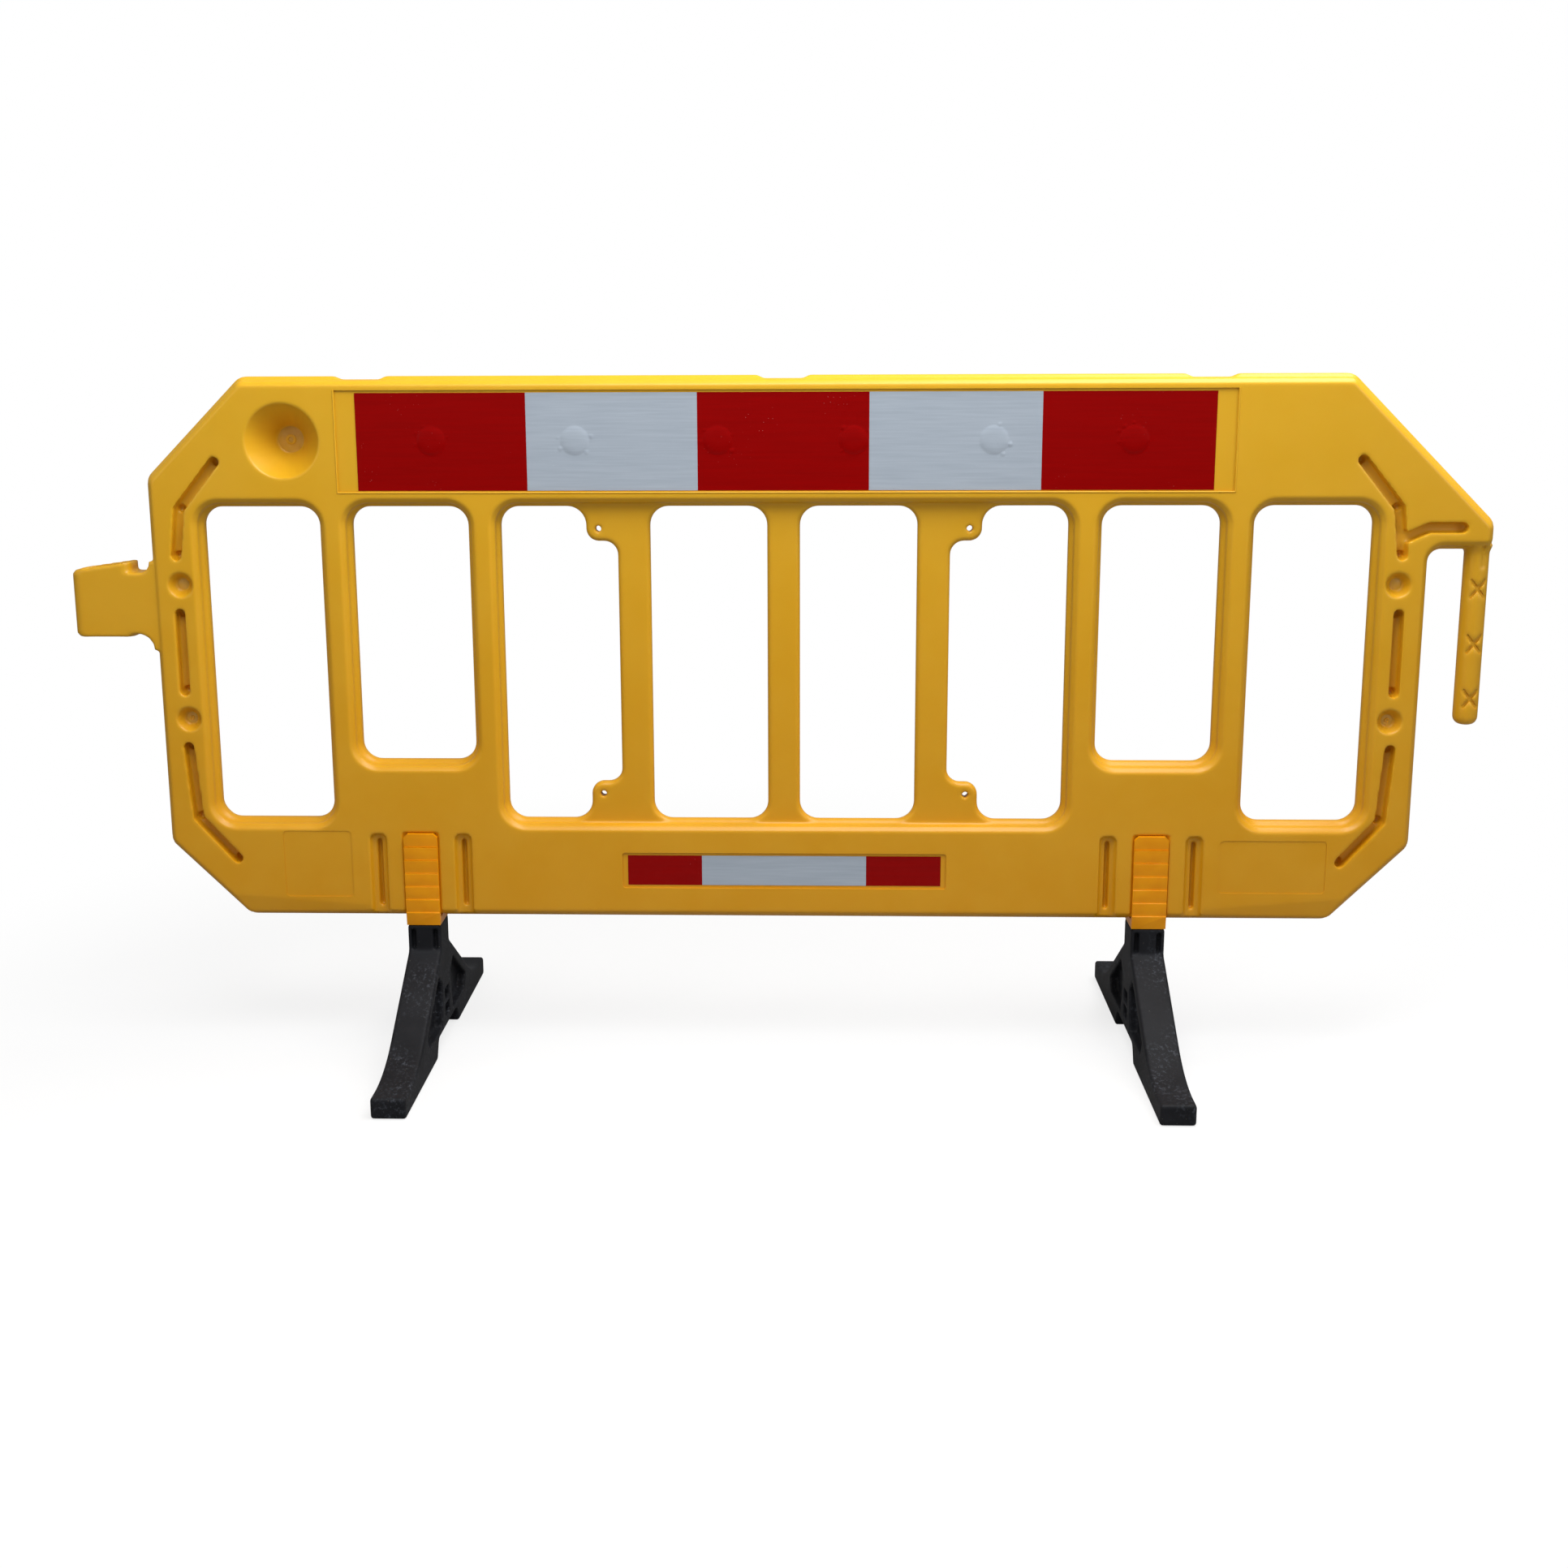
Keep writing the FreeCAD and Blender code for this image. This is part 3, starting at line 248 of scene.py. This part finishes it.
def relief(tree, surface, *layers):
    """Gives the surface its relief, from layers that each have a height in millimetres."""
    normal = None
    for height, depth_mm in layers:
        inputs = {"Height": height, "Distance": depth_mm * MM, "Strength": 1.0}
        if normal:
            inputs["Normal"] = normal
        normal = add(tree, "ShaderNodeBump", inputs).outputs["Normal"]
    tree.links.new(normal, surface.inputs["Normal"])


# Materials

def moulded_polyethylene():
    """Blow-moulded polyethylene: waxy satin yellow, painted paler towards the top for the light
    that falls from above.
    Its grain is drawn coarser than the real one, so that it shows."""
    material, tree, surface, place = blank_material(
        "moulded_polyethylene", Roughness=0.38, IOR=1.51,
        **{"Subsurface Weight": 0.1, "Subsurface Radius": (1.0, 0.45, 0.08),
           "Subsurface Scale": 0.003, "Specular IOR Level": 0.38})
    height = add(tree, "ShaderNodeSeparateXYZ", {"Vector": place}).outputs["Z"]
    # Painted light: the colour grows paler with height, standing for the stronger light on the
    # upper panel.
    painted_top_light = two_tone(tree, height, (0.2, 0.95), colour("#D6950B"), colour("#DEA91C"))
    tint = two_tone(tree, patches(tree, place, 90, detail=3), (0.35, 0.65), painted_top_light,
                    colour("#EDBB40"), most=0.12)
    tree.links.new(tint, surface.inputs["Base Color"])
    relief(tree, surface, (patches(tree, place, 35, detail=1), 0.25),
           (patches(tree, place, 1.6, detail=2), 0.05))
    return material


def injection_moulded_nylon():
    """Injection-moulded nylon: deeper orange than the panel, smoother and glossier."""
    material, tree, surface, place = blank_material(
        "injection_moulded_nylon", Roughness=0.34, IOR=1.53,
        **{"Subsurface Weight": 0.08, "Subsurface Radius": (1.0, 0.4, 0.05),
           "Subsurface Scale": 0.003, "Specular IOR Level": 0.25})
    tint = two_tone(tree, patches(tree, place, 30), (0.35, 0.65),
                    colour("#E39000"), colour("#E89803"))
    tree.links.new(tint, surface.inputs["Base Color"])
    relief(tree, surface, (patches(tree, place, 2.5), 0.05))
    return material


def thin_wall_polyethylene():
    """The same plastic where the moulding is pressed thin, painted paler for the light that comes
    through it.
    """
    material, tree, surface, place = blank_material(
        "thin_wall_polyethylene", Roughness=0.4, IOR=1.51,
        **{"Subsurface Weight": 0.2, "Subsurface Radius": (1.0, 0.5, 0.1),
           "Subsurface Scale": 0.004})
    # Painted light: these paler colours stand for light shining through the thin wall.
    tint = two_tone(tree, patches(tree, place, 12), (0.3, 0.7),
                    colour("#D8A434"), colour("#E2B24C"))
    tree.links.new(tint, surface.inputs["Base Color"])
    relief(tree, surface, (patches(tree, place, 1.6), 0.05))
    return material


def reflective_film(name, dark, light, bead):
    """Glass-bead film under clear lacquer: flat colour, faint streaks, and a few lit beads drawn
    as painted glints. Real beads are too fine to show, so the few that are drawn are many times as
    large."""
    material, tree, surface, place = blank_material(
        name, Roughness=0.2, IOR=1.5, **{"Specular IOR Level": 0.12})
    streaks = patches(tree, place, 3, detail=4, stretch=(0.04, 1, 1))
    tint = two_tone(tree, streaks, (0.3, 0.7), colour(dark), colour(light))
    # Painted highlight: pale specks in sparse patches stand for beads that catch the light.
    painted_bead_glints = two_tone(tree, patches(tree, place, 60, detail=3), (0.58, 0.75), tint,
                      colour(bead), most=specks(tree, place, 5, 0.9))
    tree.links.new(painted_bead_glints, surface.inputs["Base Color"])
    relief(tree, surface, (patches(tree, place, 45, detail=2), 0.25), (streaks, 0.006),
           (patches(tree, place, 1.4), 0.012))
    return material


def recycled_rubber():
    """Moulded recycled rubber: matt charcoal, pale crumbs, and scuffs where boots step."""
    material, tree, surface, place = blank_material("recycled_rubber", Roughness=0.6, IOR=1.52,
                                                    **{"Specular IOR Level": 0.16})
    charcoal = two_tone(tree, patches(tree, place, 40, detail=4), (0.3, 0.7),
                        colour("#141519"), colour("#1D1E22"))
    scratches = add(tree, "ShaderNodeMapRange",
                    {"Value": patches(tree, place, 5, detail=6, roughness=0.7),
                     1: 0.52, 2: 0.72}).outputs[0]
    scuffed = two_tone(tree, patches(tree, place, 70, detail=2), (0.4, 0.6), charcoal,
                       colour("#4C5058"), most=scratches)
    crumbed = two_tone(tree, specks(tree, place, 9, 0.8), (0, 1), scuffed, colour("#857E72"))
    tree.links.new(crumbed, surface.inputs["Base Color"])
    relief(tree, surface, (patches(tree, place, 18, detail=3), 0.4),
           (patches(tree, place, 1.5, detail=3), 0.12))
    return material


def zinc_plated_steel():
    """Zinc-plated steel: bright grey with a soft cloudy sheen."""
    material, tree, surface, place = blank_material("zinc_plated_steel", Metallic=1.0)
    clouds = patches(tree, place, 6, detail=3)
    tint = two_tone(tree, clouds, (0.3, 0.7), colour("#B4B6B8"), colour("#CACCCE"))
    tree.links.new(tint, surface.inputs["Base Color"])
    rough = add(tree, "ShaderNodeMapRange", {"Value": clouds, 3: 0.28, 4: 0.42}).outputs[0]
    tree.links.new(rough, surface.inputs["Roughness"])
    return material


def turned_steel():
    """Turned steel: fine rings round the bore, drawn coarser than real tool marks."""
    material, tree, surface, place = blank_material("turned_steel", Metallic=1.0)
    rings = patches(tree, place, 0.6, stretch=(0.05, 0.05, 1))
    tint = two_tone(tree, rings, (0.3, 0.7), colour("#9EA0A2"), colour("#B8BABC"))
    tree.links.new(tint, surface.inputs["Base Color"])
    rough = add(tree, "ShaderNodeMapRange", {"Value": rings, 3: 0.3, 4: 0.45}).outputs[0]
    tree.links.new(rough, surface.inputs["Roughness"])
    return material


plastic = moulded_polyethylene()
thin_plastic = thin_wall_polyethylene()
nylon = injection_moulded_nylon()
# Each film's last colour is the painted glint of its lit beads.
red_film = reflective_film("red_reflective_film", "#8A0000", "#920000", "#D08C8C")
white_film = reflective_film("white_reflective_film", "#A2ACB8", "#ACB6C1", "#D4DAE0")
rubber = recycled_rubber()
zinc = zinc_plated_steel()
steel = turned_steel()


# The panel

panel_low, panel_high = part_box("barrier_panel")
front = panel_low.y
centre_low, centre_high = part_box("upper_sheet_red_centre")
middle = (centre_low.x + centre_high.x) / 2


def span(*names):
    """The lowest and highest corners of several solids together."""
    boxes = [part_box(name) for name in names]
    return ([min(box[0][i] for box in boxes) for i in range(3)],
            [max(box[1][i] for box in boxes) for i in range(3)])


UPPER_SHEETS = ("upper_sheet_red_left", "upper_sheet_white_left", "upper_sheet_red_centre",
                "upper_sheet_white_right", "upper_sheet_red_right")
LOWER_SHEETS = ("lower_sheet_red_left", "lower_sheet_white", "lower_sheet_red_right")

# A recess's margins beside, below and above its sheets.
UPPER_MARGINS_MM = (30, 3, 4)
LOWER_MARGINS_MM = (8, 4.5, 4.5)

# The two empty frames on the lower rail: two corners each, from the panel's middle.
FRAMES_MM = (((-749.8, 238.0), (-647.0, 340.0)), ((643.6, 249.5), (800.2, 330.0)))


def recess(names, margins_mm):
    """A sheet recess's corners: the sheets' own, widened by its margins."""
    low, high = span(*names)
    beside, below, above = (margin * MM for margin in margins_mm)
    return (low[0] - beside, low[2] - below), (high[0] + beside, high[2] + above)


def sunken_places():
    """Every crisp sunken field in the front face: its two corners, depth and corner radius."""
    recess_depth_mm, frame_depth_mm = 2.5, 1.0
    upper_corner_mm, lower_corner_mm, frame_corner_mm = 2.0, 4.0, 6.0
    places = [recess(UPPER_SHEETS, UPPER_MARGINS_MM) + (recess_depth_mm, upper_corner_mm),
              recess(LOWER_SHEETS, LOWER_MARGINS_MM) + (recess_depth_mm, lower_corner_mm)]
    for low, high in FRAMES_MM:
        places.append(((middle + low[0] * MM, low[1] * MM),
                       (middle + high[0] * MM, high[1] * MM), frame_depth_mm, frame_corner_mm))
    return places


def rail_facets():
    """The lower rail's front leans back below a slanting line at either end."""
    # The slanting line's ends: how far they are from the panel's middle, and how high.
    near_mm, far_mm = (621.3, 224.2), (940.0, 250.6)
    below_mm, back_mm, proud_mm = 60.0, 9.0, 20.0
    drop = below_mm * MM
    leaning = front + back_mm * MM
    blocks = []
    for turn in (-1, 1):
        ends = sorted([(middle + turn * near_mm[0] * MM, near_mm[1] * MM),
                       (middle + turn * far_mm[0] * MM, far_mm[1] * MM)])
        (left, left_z), (right, right_z) = ends
        blocks.append(slanted_block(left, right, (left_z - drop, right_z - drop),
                                    (left_z, right_z), front - proud_mm * MM,
                                    (leaning, leaning, front, front)))
    return blocks


def flute_lines():
    """A narrow deeper line down the floor of each flute in the front face."""
    foot_mm, flute_mm = 543.0, 63.65
    half_mm, low_mm, high_mm, floor_mm, line_mm, overlap_mm = 3.2, 222.0, 326.0, 9.0, 10.0, 1.0
    blocks = []
    for foot_side in (-foot_mm, foot_mm):
        for flute_side in (-flute_mm, flute_mm):
            x = middle + (foot_side + flute_side) * MM
            blocks.append(box_mesh(
                (x - half_mm * MM, front + (floor_mm - overlap_mm) * MM, low_mm * MM),
                (x + half_mm * MM, front + (floor_mm + line_mm) * MM, high_mm * MM)))
    return blocks


def peg_creases(lean_degrees):
    """The creases of one lean down the peg's front; the other lean's cross them."""
    peg_mm, radius_mm, top_mm, spacing_mm, count = 997, 17.35, 703.0, 80.5, 3
    length_mm, half_mm, depth_mm, proud_mm = 34.0, 2.2, 5.0, 10.0
    creases = []
    for number in range(count):
        centre = (middle + peg_mm * MM, 0, (top_mm - spacing_mm * number) * MM)
        crease = box_mesh((-length_mm / 2 * MM, -(radius_mm + proud_mm) * MM, -half_mm * MM),
                          (length_mm / 2 * MM, -(radius_mm - depth_mm) * MM, half_mm * MM))
        crease.transform(Matrix.Translation(centre)
                         @ Matrix.Rotation(math.radians(lean_degrees), 4, "Y"))
        creases.append(crease)
    return joined(creases)


def moulded_panel():
    """The blow-moulded panel: soft everywhere but at its sunken fields."""
    inside_mm, overlap_mm = 6.0, 1.0
    voxel_mm = 2.2
    rounds, share, crease_lean, sharp = 5, 0.45, 52, 40
    fillers = [box_mesh((low[0] - overlap_mm * MM, front, low[1] - overlap_mm * MM),
                        (high[0] + overlap_mm * MM, front + inside_mm * MM,
                         high[1] + overlap_mm * MM))
               for low, high, depth, corner in sunken_places()]
    skin = soft_skin("moulded_panel", "barrier_panel", voxel_mm, rounds, fillers,
                     rail_facets() + flute_lines(), share)
    for low, high, depth, corner in sunken_places():
        cut_out(skin, box_mesh((low[0], front - inside_mm * MM, low[1]),
                               (high[0], front + depth * MM, high[1]), corner))
    for lean_degrees in (-crease_lean, crease_lean):
        cut_out(skin, peg_creases(lean_degrees))
    shade(skin, sharp)
    return finish_piece(skin, plastic, "panel", "panel_plastic", "barrier_panel")


moulded_panel()


def moulding_marks():
    """The pressed-thin discs in the dimples' floors, painted pale for the light through them, with
    the rings of their pins.
    """
    # Each profile runs in millimetres, as (radius, height over the floor).
    disc = [(0.0, 1.0), (18.4, 1.0), (19.0, 0.6), (19.0, 0.0), (0.0, 0.0)]
    ring = [(3.0, 0.5), (3.6, 2.4), (6.4, 2.8), (7.6, 2.2), (8.0, 0.5)]
    low_disc = [(0.0, 0.8), (7.8, 0.8), (8.2, 0.5), (8.2, 0.0), (0.0, 0.0)]
    low_ring = [(1.4, 0.5), (1.8, 2.0), (3.0, 2.2), (3.6, 0.5)]
    lamp_wall_mm, dimple_depth_mm = 3.0, 15.0
    lamp_floor, dimple_floor = panel_high.y - lamp_wall_mm * MM, front + dimple_depth_mm * MM
    lamp_mm, dimple_mm, upper_mm, lower_mm = (-720.0, 918.0), 880.0, 710.0, 510.0
    places = [("lamp_seat", *lamp_mm, lamp_floor, disc, ring)]
    for name, side in (("left", -dimple_mm), ("right", dimple_mm)):
        places.append((name + "_upper_dimple", side, upper_mm, dimple_floor, low_disc, None))
        places.append((name + "_lower_dimple", side, lower_mm, dimple_floor, low_disc, low_ring))
    for name, x_mm, z_mm, floor, flat, pin in places:
        centre = (middle + x_mm * MM, floor, z_mm * MM)
        for part, profile, material in (("_disc", flat, thin_plastic), ("_ring", pin, plastic)):
            if profile:
                mark = turned(name + part, profile, centre)
                shade(mark, 40)
                finish_piece(mark, material, "panel", "panel_plastic")


moulding_marks()


def recess_bead():
    """The fine raised bead along the sides and the bottom of the upper sheets' recess."""
    low, high = recess(UPPER_SHEETS, UPPER_MARGINS_MM)
    half_mm, proud_mm, sunk_mm, steps = 1.3, 0.9, 0.2, 8
    route = [(low[0], high[1]), (low[0], low[1]), (high[0], low[1]), (high[0], high[1])]
    for name, start, end in zip(("left", "bottom", "right"), route, route[1:]):
        along = Vector((end[0] - start[0], 0, end[1] - start[1])).normalized()
        across = Vector((along.z, 0, -along.x))
        form = bmesh.new()
        rings = []
        for x, z in (start, end):
            ring = []
            for step in range(steps + 1):
                angle = math.pi * step / steps
                spot = Vector((x, front + sunk_mm * MM, z))
                spot += across * (half_mm * MM * math.cos(angle))
                spot.y -= (proud_mm + sunk_mm) * MM * math.sin(angle)
                ring.append(form.verts.new(spot))
            rings.append(ring)
        for step in range(steps):
            form.faces.new((rings[0][step], rings[0][step + 1],
                            rings[1][step + 1], rings[1][step]))
        form.faces.new((rings[0][0], rings[1][0], rings[1][-1], rings[0][-1]))
        form.faces.new(rings[0])
        form.faces.new(rings[1])
        bmesh.ops.recalc_face_normals(form, faces=form.faces)
        mesh = bpy.data.meshes.new("bead")
        form.to_mesh(mesh)
        form.free()
        bead = link("recess_bead_" + name, mesh)
        shade(bead, 60)
        finish_piece(bead, plastic, "panel", "panel_plastic")


recess_bead()


# The sheeting

def film(node, material, slot, bulges):
    """One sheet of film on a fine grid, lifted where air and mouldings push it up."""
    low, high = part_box(node)
    step_mm, thickness_mm = 1.5, 0.4
    columns = max(2, round((high.x - low.x) / (step_mm * MM)))
    rows = max(2, round((high.z - low.z) / (step_mm * MM)))
    x = np.linspace(low.x, high.x, columns + 1)
    z = np.linspace(low.z, high.z, rows + 1)
    grid_x, grid_z = np.meshgrid(x, z)
    lift = np.zeros_like(grid_x)
    for bulge_x, bulge_z, radius_mm, height_mm in bulges:
        distance = np.hypot(grid_x - bulge_x, grid_z - bulge_z) / (radius_mm * MM)
        lift += height_mm * MM * np.clip(1 - distance ** 4, 0, 1)
    vertices = np.stack([grid_x, low.y - lift, grid_z], axis=-1).reshape(-1, 3)
    faces = [(r * (columns + 1) + c, r * (columns + 1) + c + 1,
              (r + 1) * (columns + 1) + c + 1, (r + 1) * (columns + 1) + c)
             for r in range(rows) for c in range(columns)]
    mesh = bpy.data.meshes.new(node + "_film")
    mesh.from_pydata(vertices.tolist(), [], faces)
    sheet = link(node + "_film", mesh)
    thick = sheet.modifiers.new("thickness", "SOLIDIFY")
    thick.thickness = thickness_mm * MM
    thick.offset = -1
    settle(sheet)
    shade(sheet, 40)
    return finish_piece(sheet, material, "panel", slot, node)


# Where the moulding's tack marks lift the upper film, from the panel's middle.
TACK_X_MM = (-504.0, -297.7, -93.5, 100.5, 299.4, 497.3)
TACK_Z_MM = 917.5


def film_bulges(node):
    """Where one sheet is lifted: the tack marks, small bubbles at their rims, and loose ones.
    Each bulge has its centre in metres, and its radius and height in millimetres."""
    tack_radius_mm, tack_height_mm, rim_bubbles, loose_bubbles = 21, 1.4, 4, 10
    low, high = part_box(node)
    found = []
    for tack_x in TACK_X_MM:
        centre_x = middle + tack_x * MM
        if low.x < centre_x < high.x:
            found.append((centre_x, TACK_Z_MM * MM, tack_radius_mm, tack_height_mm))
            for number in range(rim_bubbles):
                turn = random.uniform(0, 2 * math.pi)
                reach = random.uniform(22, 26) * MM
                found.append((centre_x + reach * math.cos(turn),
                              TACK_Z_MM * MM + reach * math.sin(turn),
                              random.uniform(1.8, 4.0), random.uniform(0.25, 0.6)))
    for number in range(loose_bubbles):
        found.append((random.uniform(low.x, high.x), random.uniform(low.z, high.z),
                      random.uniform(1.0, 1.8), random.uniform(0.1, 0.25)))
    return found


for node in UPPER_SHEETS + LOWER_SHEETS:
    is_red = "red" in node
    bulges = film_bulges(node) if node in UPPER_SHEETS else []
    film(node, red_film if is_red else white_film,
         "red_sheeting" if is_red else "white_sheeting", bulges)


# The feet, their clips and the hidden swivels

def ribbed_clip(side):
    """A saddle clip with its grip: seven courses, each leaning in towards its lower edge."""
    node = side + "_foot_clip"
    low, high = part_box(node)
    courses, lean_mm, rounding_mm, spare = 7, 1.8, 0.7, 5 * MM
    pitch = (high.z - low.z) / courses
    wedges = []
    for face, outward in ((low.y, -1), (high.y, 1)):
        inner = face - outward * lean_mm * MM
        for course in range(courses):
            bottom = low.z + pitch * course
            top = bottom + pitch
            wedges.append(slanted_block(low.x - spare, high.x + spare, (bottom, bottom),
                                        (top, top), face + outward * spare,
                                        (inner, inner, face, face)))
    clip = link(side + "_ribbed_clip", joined([nodes[node].data]))
    for wedge in wedges:
        cut_out(clip, joined([wedge]))
    rounding = clip.modifiers.new("rounding", "BEVEL")
    rounding.width = rounding_mm * MM
    rounding.segments = 2
    settle(clip)
    shade(clip, 50)
    return finish_piece(clip, nylon, "panel", "clip_plastic", node)


for side in ("left", "right"):
    ribbed_clip(side)
    foot = soft_skin(side + "_moulded_foot", side + "_foot", 2.0, 3)
    shade(foot, 60)
    finish_piece(foot, rubber, side + "_foot", "foot_rubber", side + "_foot")
    for part, material in (("swivel_bolt", zinc), ("head_washer", zinc), ("nut_washer", zinc),
                           ("lock_nut", zinc), ("foot_bush", steel)):
        for place in nodes["%s_%s" % (side, part)].material_slots:
            place.material = material


# Floor, light and camera

def pale_floor():
    """A matt pale floor with a light shadow, which goes over into plain white further out."""
    material, tree, surface, place = blank_material("pale_floor", Roughness=0.9)
    away = add(tree, "ShaderNodeVectorMath", {0: place}, operation="LENGTH").outputs["Value"]
    near, far, least = 0.9, 1.7, 0.75
    beyond = add(tree, "ShaderNodeMapRange", {"Value": away, 1: near, 2: far, 3: least, 4: 1.0},
                 interpolation_type="SMOOTHSTEP").outputs[0]
    rays = add(tree, "ShaderNodeLightPath")
    shown = two_tone(tree, rays.outputs["Is Camera Ray"], (0, 1),
                     colour("#8E8E8E"), colour("#FAFAFA"))
    tree.links.new(shown, surface.inputs["Base Color"])
    seen = add(tree, "ShaderNodeMath", {0: beyond, 1: rays.outputs["Is Camera Ray"]},
               operation="MULTIPLY").outputs[0]
    white = add(tree, "ShaderNodeEmission", {"Color": (1, 1, 1, 1), "Strength": 1.0})
    both = add(tree, "ShaderNodeMixShader", {0: seen, 1: surface.outputs["BSDF"],
                                             2: white.outputs[0]})
    output = [node for node in tree.nodes if node.bl_idname == "ShaderNodeOutputMaterial"][0]
    tree.links.new(both.outputs[0], output.inputs["Surface"])
    return material


def make_floor():
    reach = 12.0
    mesh = bpy.data.meshes.new("floor")
    mesh.from_pydata([(-reach, -reach, 0), (reach, -reach, 0), (reach, reach, 0),
                      (-reach, reach, 0)], [], [(0, 1, 2, 3)])
    floor = link("floor", mesh)
    floor.data.materials.append(pale_floor())


def make_world():
    world = bpy.data.worlds.new("studio")
    bpy.context.scene.world = world
    world.use_nodes = True
    tree = world.node_tree
    tree.nodes.clear()
    rays = add(tree, "ShaderNodeLightPath")
    shown = add(tree, "ShaderNodeMath", {0: rays.outputs["Is Camera Ray"],
                                         1: rays.outputs["Is Transmission Ray"]},
                operation="MAXIMUM")
    soft = add(tree, "ShaderNodeBackground", {"Color": (1, 1, 1, 1), "Strength": 0.32})
    white = add(tree, "ShaderNodeBackground", {"Color": (1, 1, 1, 1), "Strength": 1.0})
    both = add(tree, "ShaderNodeMixShader", {0: shown.outputs[0], 1: soft.outputs[0],
                                             2: white.outputs[0]})
    add(tree, "ShaderNodeOutputWorld", {"Surface": both.outputs[0]})


def softbox(name, place, aim, width, height, watts):
    light = bpy.data.lights.new(name, "AREA")
    light.shape = "RECTANGLE"
    light.size = width
    light.size_y = height
    light.energy = watts
    lamp = bpy.data.objects.new(name, light)
    bpy.context.scene.collection.objects.link(lamp)
    lamp.location = place
    lamp.rotation_euler = (Vector(aim) - Vector(place)).to_track_quat("-Z", "Y").to_euler()


def make_lights():
    softbox("top_box", (0.5, -0.6, 2.6), (0, -0.1, 0.9), 3.4, 1.1, 90)
    softbox("left_box", (-3.0, -2.4, 1.7), (0, 0, 0.7), 1.2, 1.6, 10)
    softbox("right_box", (3.0, -2.4, 1.9), (0, 0, 0.7), 1.2, 1.6, 22)


def make_camera():
    """The photograph's camera, solved from the panel's outline, windows and feet."""
    yaw, pitch, roll = (math.radians(a) for a in (-1.64657, 10.91719, 0.21339))
    ahead = Vector((math.sin(yaw) * math.cos(pitch), math.cos(yaw) * math.cos(pitch),
                    -math.sin(pitch)))
    level = Vector((math.cos(yaw), -math.sin(yaw), 0))
    down = ahead.cross(level)
    right = level * math.cos(roll) + down * math.sin(roll)
    down = down * math.cos(roll) - level * math.sin(roll)
    image, focal_pixels = 1932, 2154.26
    centre_pixels = (945.10, 844.81)
    lens = bpy.data.cameras.new("camera")
    lens.sensor_width = 36
    lens.lens = focal_pixels / image * lens.sensor_width
    lens.shift_x = (image / 2 - centre_pixels[0]) / image
    lens.shift_y = (centre_pixels[1] - image / 2) / image
    camera = bpy.data.objects.new("camera", lens)
    bpy.context.scene.collection.objects.link(camera)
    turn = Matrix((right, -down, -ahead)).transposed().to_4x4()
    camera.matrix_world = Matrix.Translation((0.06092, -2.53343, 1.04591)) @ turn
    bpy.context.scene.camera = camera


make_floor()
make_world()
make_lights()
make_camera()
bpy.context.scene.view_settings.view_transform = "Standard"
